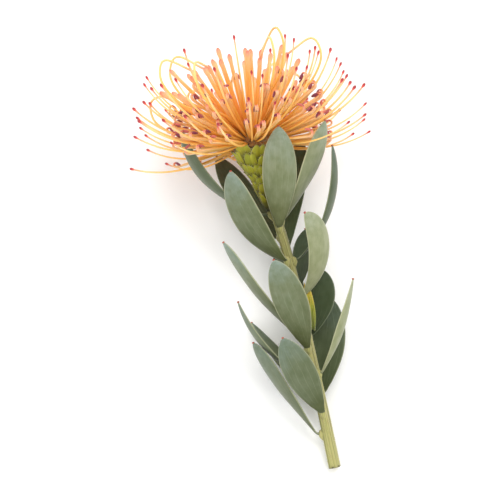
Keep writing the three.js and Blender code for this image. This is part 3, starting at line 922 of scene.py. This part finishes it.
def leaf_felt(leaf):
    """Leaves: tough blades under silky hair: matte, faintly veined, olive and darker at the foot with painted
    shade, bluish outwards with a painted sky reflection.
    """
    reads = ("along", "across", "tone", "lay")
    felt = {"Roughness": 0.6, "Sheen_Weight": 0.22, "Sheen_Roughness": 0.45}
    material, tree, along, across, tone, lay = new_material("leaf_felt", reads, IOR=1.42, **felt)
    # Clouds about 14 mm across shift where olive turns to grey-green, so no two leaves change alike.
    clouds = add(tree, "TexNoise", {"Vector": lay, "Scale": 1 / (14 * MM), "Detail": 4})
    shift = add(tree, "Math", {0: clouds, 1: 0.7, 2: along}, operation="MULTIPLY_ADD")
    reach = add(tree, "MapRange", {"Value": shift, "From Min": 0.35, "From Max": 1.35})
    # Foot to tip: the leaf's own olive to grey-green, with painted shade darkening the foot and a painted
    # bluish sky reflection towards the tip.
    stops = [(0.2, leaf.foot_colour_and_shade), (0.58, leaf.middle_colour), (0.96, leaf.tip_colour_and_sky_reflection)]
    colour = add(tree, "ValToRGB", {"Fac": reach}, stops=stops)
    young = add(tree, "MapRange", {"Value": tone, "From Min": 0, "From Max": 1, "To Max": 0.75})
    # Painted shade: a leaf with a negative tone is mixed towards the dark colour, as it lies in shade.
    old = add(tree, "MapRange", {"Value": tone, "From Min": 0, "From Max": -1, "To Max": 0.85})
    colour = add(tree, "Mix", {0: young, 6: colour, 7: leaf.pale_colour}, 2, data_type="RGBA")
    colour = add(tree, "Mix", {0: old, 6: colour, 7: leaf.painted_shade_colour}, 2, data_type="RGBA")
    # Mottling about 3 mm across, and felt in streaks of 0.3 mm: single hairs are too fine to show.
    patches = add(tree, "TexNoise", {"Vector": lay, "Scale": 1 / (3 * MM), "Detail": 3})
    felt = streaks(tree, 0.3, 2.5, 4)
    colour = stained(tree, colour, patches, 0.3, 0.65, (0.76, 0.8, 0.66))
    colour = stained(tree, colour, felt, 0.3, 0.7, (0.8, 0.82, 0.78), 0.6)
    # Lengthwise veins meet at both ends, because the across attribute is -1 and 1 at the margins throughout.
    # They waver, and come and go.
    waver = add(tree, "Math", {0: patches, 1: 0.35, 2: clouds}, operation="MULTIPLY_ADD")
    wandering = add(tree, "Math", {0: across, 1: 2.6, 2: waver}, operation="MULTIPLY_ADD")
    nearest = add(tree, "Math", {0: wandering, 1: 0.5}, operation="PINGPONG")
    ridge = {"Value": nearest, "From Min": 0.07, "From Max": 0}
    vein = add(tree, "MapRange", ridge, interpolation_type="SMOOTHSTEP")
    seen = add(tree, "MapRange", {"Value": clouds, "From Min": 0.36, "From Max": 0.56})
    lines = add(tree, "Math", {0: vein, 1: seen}, operation="MULTIPLY")
    faint = add(tree, "Math", {0: lines, 1: 0.11}, operation="MULTIPLY")
    colour = add(tree, "Mix", {0: faint, 6: colour, 7: linear("BFC5A2")}, 2, data_type="RGBA")
    # A thin pale rim, duller on a leaf darkened with painted shade.
    edge = add(tree, "Math", {0: across}, operation="ABSOLUTE")
    margin = add(tree, "MapRange", {"Value": edge, "From Min": 0.93, "From Max": 1, "To Max": 0.6})
    rim = add(tree, "Mix", {0: old, 6: linear("C2C29A"), 7: linear("6E7A5C")}, 2, data_type="RGBA")
    colour = add(tree, "Mix", {0: margin, 6: colour, 7: rim}, 2, data_type="RGBA")
    height = add(tree, "Math", {0: lines, 1: 0.4, 2: felt}, operation="MULTIPLY_ADD")
    dress(tree, colour, height, 0.12, 0.35)
    return material


def gland_horn(leaf):
    """Tip glands: hard horny points, red and a little glossy."""
    red = leaf.gland_colour
    material, tree, along = new_material("leaf_gland_horn", ["along"], Roughness=0.35, IOR=1.5)
    stops = [(0, "8F7A50"), (0.45, red), (1, darker(red, 0.6))]
    dress(tree, add(tree, "ValToRGB", {"Fac": along}, stops=stops))
    return material


def young_leaf_skin():
    """Young side-shoot leaves: thin, silky and yellow-green, yellow at the tips."""
    thin = {"Subsurface_Weight": 0.15, "Subsurface_Scale": 0.001, "Sheen_Weight": 0.3}
    material, tree, along = new_material("young_leaf_silk", ["along"], Roughness=0.55, IOR=1.42, **thin)
    stops = [(0, "7C8A3A"), (0.5, "A5A83C"), (1, "D9B93E")]
    colour = add(tree, "ValToRGB", {"Fac": along}, stops=stops)
    dress(tree, stained(tree, colour, streaks(tree, 0.3, 3), 0.3, 0.7, (0.75, 0.75, 0.65), 0.7))
    return material


def receptacle_pith():
    """The receptacle: a pithy dome, tan and pitted every 2 mm where florets stand."""
    material, tree = new_material("receptacle_pith", Roughness=0.85, IOR=1.4)
    position = add(tree, "TexCoord", out="Object")
    pits = add(tree, "TexVoronoi", {"Vector": position, "Scale": 1 / (2 * MM)})
    dress(tree, add(tree, "ValToRGB", {"Fac": pits}, stops=[(0.1, "5F3F22"), (0.6, "A9753F")]), pits, 0.4)
    return material


def table_paper(stage):
    """The table: matte white paper board with the faintest mottle, about 30 mm across."""
    material, tree = new_material("table_paper", Roughness=0.9, IOR=1.4, Specular_IOR_Level=0.2)
    white, position = stage.floor_colour, add(tree, "TexCoord", out="Object")
    mottle = add(tree, "TexNoise", {"Vector": position, "Scale": 1 / (30 * MM), "Detail": 4})
    dress(tree, add(tree, "ValToRGB", {"Fac": mottle}, stops=[(0.3, darker(white, 0.985)), (0.7, white)]))
    return material


# ---- pieces ---------------------------------------------------------------------------------------------


def make_stem(stem):
    """The stem, its cut face, the cushions under the leaves and its hairs."""
    bark = bark_felt(stem)

    def radius_at(t):
        return mix(stem.cut_radius, stem.top_radius, t) / MM

    bm = new_piece()
    add_strand(bm, strand_template(24, spaced(90)), STEM_POINTS, X_AXIS, radius_at, lobes=5)
    finish_piece(bm, "stem_bark", bark, "stem", "stem")

    # The cut face stands a little proud of the bark, with pith, wood, a groove and a rim. Its wall sinks into
    # the stem.
    bm = new_piece()
    profile = [(0, -0.07), (0.5, -0.1), (0.62, -0.05), (1.6, -0.11)]
    profile += [(2.3, -0.05), (2.5, 0.09), (CUT_FACE_RADIUS, -0.15)]
    spin_round(bm, profile, 32)
    wall = bmesh.ops.extrude_edge_only(bm, edges=open_edges(bm))["geom"]
    bmesh.ops.translate(bm, verts=verts_in(wall), vec=(0, 0, 0.8))
    bmesh.ops.holes_fill(bm, edges=open_edges(bm), sides=0)
    bmesh.ops.recalc_face_normals(bm, faces=bm.faces[:])
    along_layer, lay_layer = bm.verts.layers.float["along"], bm.verts.layers.float_vector["lay"]
    for vert in bm.verts:
        radius = Vector(vert.co[:2]).length
        vert[along_layer] = radius / CUT_FACE_RADIUS
        vert[lay_layer] = (math.atan2(vert.co.y, vert.co.x) * MM, radius * 0.3 * MM, 0)
    along, right, out = across(STEM_POINTS, 0, X_AXIS)
    stand_up(bm, STEM_POINTS[0], right, out, along)
    finish_piece(bm, "stem_cut_face", cut_wood(stem), "stem")

    # Each leaf stands on a cushion that swells out of the bark.
    bm = new_piece()
    pad = strand_template(14, [0, 0.08, 0.2, 0.36, 0.5, 0.64, 0.8, 0.92, 1])
    for at, turn, *_ in LEAVES:
        station = 1 - at / STEM_LENGTH
        along, radial = radial_at(STEM_POINTS, station, turn)
        middle = point_at(STEM_POINTS, station) + radial * (stem_radius(station) - 0.5)
        line = [middle - along * 3.4, middle + radial * 0.35, middle + along * 2.2]
        add_strand(bm, pad, line, along.cross(radial), lambda t: 1.75 * swelling(t, 0.04, 0.97, 0.8))
    finish_piece(bm, "leaf_cushions", bark, "stem")

    bm = new_piece()
    hair = hair_template()
    random = seeded(5)
    for _ in range(stem.hairs):
        t = 0.02 + 0.96 * next(random)
        along, radial = radial_at(STEM_POINTS, t, 360 * next(random))
        root = point_at(STEM_POINTS, t) + radial * (radius_at(t) - 0.1)
        tip = root + radial * mix(0.5, 0.9, next(random)) + along * mix(0.1, 0.8, next(random))
        if tip.z > 0.1:
            add_hair(bm, hair, root, tip, along * -0.1, 0.035, next(random))
    finish_piece(bm, "stem_hairs", hair_silk("stem_hair_silk", linear("D4D0B8")), "stem")


def make_side_shoot():
    """A young side shoot in a leaf's axil, pressed to the right of the stem."""
    bm = new_piece()
    plate = blade_template(6, 16)
    station = 1 - SHOOT_AT / STEM_LENGTH
    along, radial = radial_at(STEM_POINTS, station, SHOOT_TURN)
    foot = point_at(STEM_POINTS, station) + radial * 2.6
    random = seeded(3)
    for i in range(SHOOT_LEAVES):
        length = 24 - 1.6 * i
        turn = math.radians(i * GOLDEN_ANGLE)
        lean = radial * math.cos(turn) + along.cross(radial) * math.sin(turn)
        start = foot + along * (0.6 * i) + radial * 1.2 + lean * 0.4
        points = [
            start + along * (length * t) + radial * (1.6 * t) + lean * (2.2 * t * (1 - 0.6 * t))
            for t in spaced(12)
        ]
        row_at = shoot_leaf_rows(points, along.cross(lean).normalized(), 1.5 + 0.3 * next(random))
        add_blade(bm, plate, row_at, lambda x, t: 0.4 - 0.2 * x * x, length, next(random))
    finish_piece(bm, "side_shoot", young_leaf_skin(), "leaf")


def shoot_leaf_rows(points, side, width):
    """The cross sections of a small leaf along points: slim, pointed and folded upwards."""

    def row_at(t):
        _, right, out = across(points, t, side)
        half = width * math.sin(math.pi * mix(0.14, 1, t) ** 0.8) ** 0.8 + 0.05
        return (lambda x: point_at(points, t) + right * (half * x) + out * (0.35 * half * x * x)), out, half

    return row_at


def bract_places(involucre):
    """Place along the stalk and turn round it of each bract, from the lowest up."""
    places = [(mix(0.12, 0.93, (i / (CAD_BRACTS - 1)) ** 0.8), i * GOLDEN_ANGLE) for i in range(CAD_BRACTS)]
    more = involucre.bracts - CAD_BRACTS
    for i in range(more):
        places.append((mix(0.16, 0.97, ((i + 0.5) / more) ** 0.7), (i + 0.5) * GOLDEN_ANGLE + 70))
    return sorted(places)


def bract_surface(t, turn, length, lift):
    """The middle surface of a bract: x is -1 and 1 at its margins, y is 0 at its foot and 1 at its tip.

    It gives a point of it, the direction out of the stalk there and half the bract's width.
    """
    half_width = mix(2.3, 3.3, t)
    foot = t - 0.5 * length / STALK_LENGTH

    def surface(x, y):
        station = foot + y * length / STALK_LENGTH
        radius = stalk_radius(min(station, 1))
        half = half_width * (0.8 + 0.5 * y) * (1 - y**2) ** 0.85 + 0.05
        _, radial = radial_at(STALK_POINTS, min(station, 1), turn + math.degrees(x * half / radius))
        beyond = max(0, station - 1) * STALK_LENGTH
        proud = 0.1 + lift * y**0.8 + 0.45 * (1 - abs(x)) + 2 * max(0, y - 0.7) ** 1.5
        return point_at(STALK_POINTS, station) + AXIS * beyond + radial * (radius + proud), radial, half

    return surface


def make_involucre(involucre):
    """The flower stalk, the overlapping bracts that clothe it, and their fringe."""
    skin = bract_skin(involucre)
    bm = new_piece()
    column = strand_template(28, [mix(0.004, 0.995, t) for t in spaced(30)])
    add_strand(bm, column, STALK_POINTS, X_AXIS, lambda t: stalk_radius(t) * 0.96)
    finish_piece(bm, "flower_stalk", skin, "involucre", "involucre")

    scales, fringe = new_piece(), new_piece()
    plate, hair = blade_template(8, 10), hair_template()
    random = seeded(11)
    thick = involucre.bract_thickness / MM

    def thickness_at(x, y):
        return thick * (1 - 0.6 * x * x) * (1 - 0.5 * y)

    for t, turn in bract_places(involucre):
        length = mix(7.5, 8.6, t)
        surface = bract_surface(t, turn, length, mix(0.5, 1.0, next(random)))

        def row_at(y):
            _, radial, half = surface(0, y)
            return (lambda x: surface(x, y)[0]), -radial, half

        add_blade(scales, plate, row_at, thickness_at, length, next(random))
        for k in range(FRINGE_HAIRS):
            x, y = (-1 if k % 2 else 1), mix(0.3, 1, k / (FRINGE_HAIRS - 1))
            root, radial, _ = surface(x * 0.98, y)
            sideways = (root - surface(0, y)[0]).normalized() if y < 0.97 else Vector((0, 0, 0))
            up = (surface(0, min(y + 0.05, 1))[0] - surface(0, y - 0.05)[0]).normalized()
            tip = root + (sideways * 0.5 + up * 0.75 + radial * 0.25) * mix(0.8, 1.3, next(random))
            add_hair(fringe, hair, root, tip, radial * 0.1, 0.05, next(random))
    finish_piece(scales, "bracts", skin, "involucre", "involucre")
    finish_piece(fringe, "bract_fringe", hair_silk("fringe_hair_silk", involucre.hair_colour), "involucre")


def make_receptacle(bloom):
    """The dome that the florets stand on, with wool round their feet."""
    bm = new_piece()
    outline = [(0, 0.05), (DOME_RADIUS - 0.4, 0.05), (DOME_RADIUS, 0.5)]
    for step in range(12):
        turn = math.radians(90 * step / 12)
        outline.append((DOME_RADIUS * math.cos(turn), DOME_RIM + (DOME_HEIGHT - DOME_RIM) * math.sin(turn)))
    spin_round(bm, [*outline, (0, DOME_HEIGHT)], 40)
    bmesh.ops.recalc_face_normals(bm, faces=bm.faces[:])
    stand_up(bm, HEAD_BASE, BLOOM_RIGHT, BLOOM_UP, AXIS)
    finish_piece(bm, "receptacle", receptacle_pith(), "florets", "florets")

    bm = new_piece()
    hair = hair_template()
    random = seeded(31)
    for i in range(bloom.wool):
        polar, azimuth = polar_of(((i + 0.5) / bloom.wool) ** 0.8), i * GOLDEN_ANGLE + 40 * next(random)
        root = foot_of(polar, azimuth)
        way = outward(polar + 24 * (next(random) - 0.5), azimuth + 24 * (next(random) - 0.5))
        tip = root + way * mix(2.5, 6.5, next(random))
        add_hair(bm, hair, root, tip, outward(90, azimuth + 90) * (next(random) - 0.5), 0.06, next(random))
    finish_piece(bm, "floret_wool", hair_silk("wool_hair_silk", linear("D9A868")), "florets")


def band_rows(line, side, wide):
    """The cross sections of a petal band: narrow at the foot and in the curl, and arched throughout."""
    widths = [(0, 0.5), (0.2, 0.9), (0.5, 1), (0.8, 0.85), (0.92, 0.7), (1, 0.45)]

    def row_at(t):
        _, right, out = across(line, t, side)
        half = wide * profile_at(widths, t)
        arch = 0.8 * half
        return (lambda x: point_at(line, t) + right * (half * x) + out * (arch * (0.6 - x * x))), out, half

    return row_at


def make_petal_bands(bloom):
    """The open florets' petal bands with their curls, and the dark limbs in the curls."""
    bands, limbs = new_piece(), new_piece()
    plate, lobe = blade_template(6, 30), strand_template(6, [0, 0.12, 0.35, 0.65, 0.88, 1])
    thick = bloom.band_thickness / MM
    random = seeded(13)

    def limb_radius(t):
        return 0.62 * swelling(t, 0.08, 0.94, 0.7)

    for lines, side in all_florets(bloom):
        if "band" not in lines:
            continue
        line = lines["band"]
        wide = bloom.band_width / MM / 2 * mix(0.85, 1.1, next(random))
        rows = band_rows(line, side, wide)
        add_blade(bands, plate, rows, lambda x, t: thick * (1 - 0.5 * x * x), length_of(line), next(random))
        # Three limbs end each band, side by side.
        along, right, out = across(line, 0.97, side)
        for aside in (-0.95, 0, 0.95):
            middle = point_at(line, 0.99) + right * (aside * wide * 0.5)
            tilt = right * (0.35 * aside) + out * 0.2 * (next(random) - 0.2)
            points = [middle + (along + tilt) * reach for reach in (-0.9, 0.6, 2.1)]
            add_strand(limbs, lobe, points, right, limb_radius, next(random))
    finish_piece(bands, "petal_bands", petal_band_wax(bloom), "florets", "florets")
    finish_piece(limbs, "band_limbs", limb_felt(bloom), "florets")


def add_tapered(bm, template, line, side, radius, profile, tone, **more):
    """Adds a strand whose radius follows a profile of (place, share of the radius)."""
    add_strand(bm, template, line, side, lambda t: radius * profile_at(profile, t), tone, **more)


def make_pins(bloom):
    """The open florets' pins and the pollen presenters at their tips."""
    pins, tips = new_piece(), new_piece()
    shaft = strand_template(10, spaced(44))
    club = strand_template(10, [0, 0.12, 0.3, 0.5, 0.7, 0.86, 0.96, 1])
    taper = [(0, 0.95), (0.3, 1), (0.7, 0.85), (1, 0.72)]
    club_shape = [(0, 0.72), (0.2, 0.9), (0.5, 1.25), (0.75, 1.2), (0.92, 0.8), (1, 0.3)]
    random = seeded(17)
    for lines, side in all_florets(bloom):
        if "pin" in lines:
            radius, tone = bloom.pin_radius / MM * mix(0.75, 1.1, next(random)), next(random)
            add_tapered(pins, shaft, lines["pin"], side, radius, taper, tone, span=(0, 0.955))
            add_tapered(tips, club, lines["pin"], side, radius, club_shape, tone, span=(0.952, 1))
    finish_piece(pins, "pins", pin_wax(bloom), "florets", "florets")
    finish_piece(tips, "pollen_presenters", presenter_wax(bloom), "florets", "florets")


def make_closed_florets(bloom):
    """The closed florets, and the looped pins that have burst from their sides."""
    tubes, loops = new_piece(), new_piece()
    tube = strand_template(8, [0, 0.1, 0.25, 0.4, 0.55, 0.7, 0.8, 0.85, 0.88, 0.91, 0.94, 0.97, 0.99, 1])
    shaft = strand_template(10, spaced(50))
    swollen_tip = [(0, 0.8), (0.4, 0.95), (0.8, 0.85), (0.88, 0.85)]
    swollen_tip += [(0.93, 1.15), (0.965, 1.15), (0.985, 0.85), (1, 0.35)]
    random = seeded(19)
    for lines, side in all_florets(bloom):
        if "tube" in lines:
            radius, tone = bloom.tube_radius / MM * mix(0.85, 1.1, next(random)), next(random)
            add_tapered(tubes, tube, lines["tube"], side, radius, swollen_tip, tone, lobes=4)
        if "loop" in lines:
            add_strand(loops, shaft, lines["loop"], side, lambda t: bloom.pin_radius / MM, next(random))
    finish_piece(tubes, "closed_tubes", closed_tube_wax(bloom), "florets", "florets")
    finish_piece(loops, "looped_pins", pin_wax(bloom), "florets", "florets")


def leaf_rows(number):
    """The cross sections of a leaf blade, with a ripple in its margins that differs from leaf to leaf."""

    def row_at(y):
        # Rows stand closer together near the foot and the tip, and the foot narrows and is rounded off.
        t = y - 0.12 * math.sin(2 * math.pi * y)
        middle, right, out, half = blade_row(number, t)
        half *= mix(0.62, 1, min(1, t / 0.14)) * min(1, 0.25 + t / 0.02) ** 0.7

        def middle_at(x):
            ripple = 0.22 * math.sin(9 * t + 2.1 * number + 2 * x) * x * x * min(1, 3 * t)
            return blade_middle((middle, right, out, half), t, x) + out * ripple

        return middle_at, out, half

    return row_at


def make_leaves(leaf):
    """The leaves, each its own piece, and the hard red gland at each leaf's tip."""
    felt = leaf_felt(leaf)
    plate, gland = blade_template(14, 56), strand_template(8, [0, 0.15, 0.4, 0.65, 0.85, 1])
    glands = new_piece()

    def thickness_at(x, y):
        middle = mix(LEAF_FOOT_THICKNESS, LEAF_THICKNESS, min(1, y / 0.2))
        return mix(middle, leaf.margin_thickness / MM, abs(x) ** 1.5)

    for number, (_, _, length, *_, tone) in enumerate(LEAVES):
        bm = new_piece()
        add_blade(bm, plate, leaf_rows(number), thickness_at, length, tone)
        name = f"{number + 1:02d}"
        finish_piece(bm, f"leaf_blade_{name}", felt, "leaf", f"leaf_{name}")
        # The gland caps the tip: its line runs on a little past the end of the blade.
        points, aside = LEAF_LINES[number]
        cap = [*points, points[-1] + (points[-1] - points[-2]).normalized() * 0.6]
        add_strand(glands, gland, cap, aside, lambda t: 0.66 * swelling(t, 0.12, 0.95, 0.7), span=(0.975, 1))
    finish_piece(glands, "leaf_tip_glands", gland_horn(leaf), "leaf")


def add_lamp(name, place, target, size, power, colour):
    """A large soft lamp that points at a target, in metres."""
    light = bpy.data.lights.new(name, "AREA")
    light.shape, light.size, light.energy, light.color = "DISK", size, power, colour
    lamp = bpy.data.objects.new(name, light)
    lamp.location = place
    lamp.rotation_euler = (Vector(target) - Vector(place)).to_track_quat("-Z", "Y").to_euler()
    bpy.context.scene.collection.objects.link(lamp)


def make_stage(stage):
    """The table, the soft studio light and the camera."""
    scene = bpy.context.scene
    # The table's top is a hair below z = 0, so that what rests there isn't flush with it.
    bm = bmesh.new()
    bmesh.ops.create_grid(bm, x_segments=1, y_segments=1, size=3)
    bmesh.ops.translate(bm, verts=bm.verts[:], vec=(0, 0, -0.0001))
    mesh = bpy.data.meshes.new("table")
    bm.to_mesh(mesh)
    bm.free()
    mesh.materials.append(table_paper(stage))
    table = bpy.data.objects.new("table", mesh)
    scene.collection.objects.link(table)

    low, high = CAD_BOX
    middle = (low + high) / 2
    add_lamp("key_lamp", (0.3, 0.5, 1.05), middle, 0.8, stage.key_power, (1, 0.98, 0.95))
    add_lamp("fill_lamp", (-0.8, -0.3, 0.8), middle, 0.9, stage.fill_power, (0.95, 0.97, 1))
    world = bpy.data.worlds.new("white_room")
    world.use_nodes = True
    background = world.node_tree.nodes["Background"]
    background.inputs["Color"].default_value = (1, 1, 1, 1)
    background.inputs["Strength"].default_value = stage.sky_strength
    scene.world = world
    scene.view_settings.view_transform = "Standard"

    camera = bpy.data.cameras.new("camera")
    camera.sensor_width = SENSOR_WIDTH
    camera.lens = SENSOR_WIDTH * stage.camera_distance / stage.view_height
    camera.clip_start, camera.clip_end = 0.01, 20
    eye = bpy.data.objects.new("camera", camera)
    scene.collection.objects.link(eye)
    back = Vector((0, -math.cos(stage.camera_elevation), math.sin(stage.camera_elevation)))
    eye.location = middle + Vector(VIEW_SHIFT) + back * stage.camera_distance
    eye.rotation_euler = (-back).to_track_quat("-Z", "Y").to_euler()
    scene.camera = eye


# ---- operators ------------------------------------------------------------------------------------------


class PROTEA_OT_stem(bpy.types.Operator):
    """Build the stem with its cut face, leaf cushions and hairs"""

    bl_idname = "protea.stem"
    bl_label = "Stem"

    def execute(self, context):
        make_stem(context.scene.protea_stem)
        return {"FINISHED"}


class PROTEA_OT_side_shoot(bpy.types.Operator):
    """Build the young shoot in a leaf's axil"""

    bl_idname = "protea.side_shoot"
    bl_label = "Side Shoot"

    def execute(self, context):
        make_side_shoot()
        return {"FINISHED"}


class PROTEA_OT_involucre(bpy.types.Operator):
    """Build the flower stalk with its bracts and their fringe"""

    bl_idname = "protea.involucre"
    bl_label = "Stalk and Bracts"

    def execute(self, context):
        make_involucre(context.scene.protea_involucre)
        return {"FINISHED"}


class PROTEA_OT_receptacle(bpy.types.Operator):
    """Build the dome that the florets stand on, with its wool"""

    bl_idname = "protea.receptacle"
    bl_label = "Receptacle"

    def execute(self, context):
        make_receptacle(context.scene.protea_bloom)
        return {"FINISHED"}


class PROTEA_OT_petal_bands(bpy.types.Operator):
    """Build the petal bands and the dark limbs in their curls"""

    bl_idname = "protea.petal_bands"
    bl_label = "Petal Bands"

    def execute(self, context):
        make_petal_bands(context.scene.protea_bloom)
        return {"FINISHED"}


class PROTEA_OT_pins(bpy.types.Operator):
    """Build the open pins and their pollen presenters"""

    bl_idname = "protea.pins"
    bl_label = "Pins"

    def execute(self, context):
        make_pins(context.scene.protea_bloom)
        return {"FINISHED"}


class PROTEA_OT_closed_florets(bpy.types.Operator):
    """Build the closed florets and the looped pins"""

    bl_idname = "protea.closed_florets"
    bl_label = "Closed Florets"

    def execute(self, context):
        make_closed_florets(context.scene.protea_bloom)
        return {"FINISHED"}


class PROTEA_OT_leaves(bpy.types.Operator):
    """Build the leaves and their tip glands"""

    bl_idname = "protea.leaves"
    bl_label = "Leaves"

    def execute(self, context):
        make_leaves(context.scene.protea_leaf)
        return {"FINISHED"}


class PROTEA_OT_stage(bpy.types.Operator):
    """Set up the table, the soft light and the camera"""

    bl_idname = "protea.stage"
    bl_label = "Stage"

    def execute(self, context):
        make_stage(context.scene.protea_stage)
        return {"FINISHED"}


SETTINGS = {
    "protea_stem": StemSettings,
    "protea_involucre": InvolucreSettings,
    "protea_bloom": BloomSettings,
    "protea_leaf": LeafSettings,
    "protea_stage": StageSettings,
}
MAKERS = (
    PROTEA_OT_stage,
    PROTEA_OT_stem,
    PROTEA_OT_side_shoot,
    PROTEA_OT_involucre,
    PROTEA_OT_receptacle,
    PROTEA_OT_petal_bands,
    PROTEA_OT_pins,
    PROTEA_OT_closed_florets,
    PROTEA_OT_leaves,
)


class PROTEA_PT_flower(bpy.types.Panel):
    """Lists the flower's makers and their settings"""

    bl_idname = "PROTEA_PT_flower"
    bl_label = "Pincushion Protea"
    bl_space_type = "VIEW_3D"
    bl_region_type = "UI"
    bl_category = "Protea"

    def draw(self, context):
        for maker in MAKERS:
            self.layout.operator(maker.bl_idname)
        for name, group in SETTINGS.items():
            box = self.layout.box()
            for setting in group.__annotations__:
                box.prop(getattr(context.scene, name), setting)


CLASSES = (*SETTINGS.values(), *MAKERS, PROTEA_PT_flower)


def register():
    for cls in CLASSES:
        bpy.utils.register_class(cls)
    for name, group in SETTINGS.items():
        setattr(bpy.types.Scene, name, PointerProperty(type=group))


def unregister():
    for name in SETTINGS:
        delattr(bpy.types.Scene, name)
    for cls in reversed(CLASSES):
        bpy.utils.unregister_class(cls)


def main():
    register()
    for maker in MAKERS:
        getattr(bpy.ops.protea, maker.bl_idname.split(".")[1])()


if __name__ == "__main__":
    main()
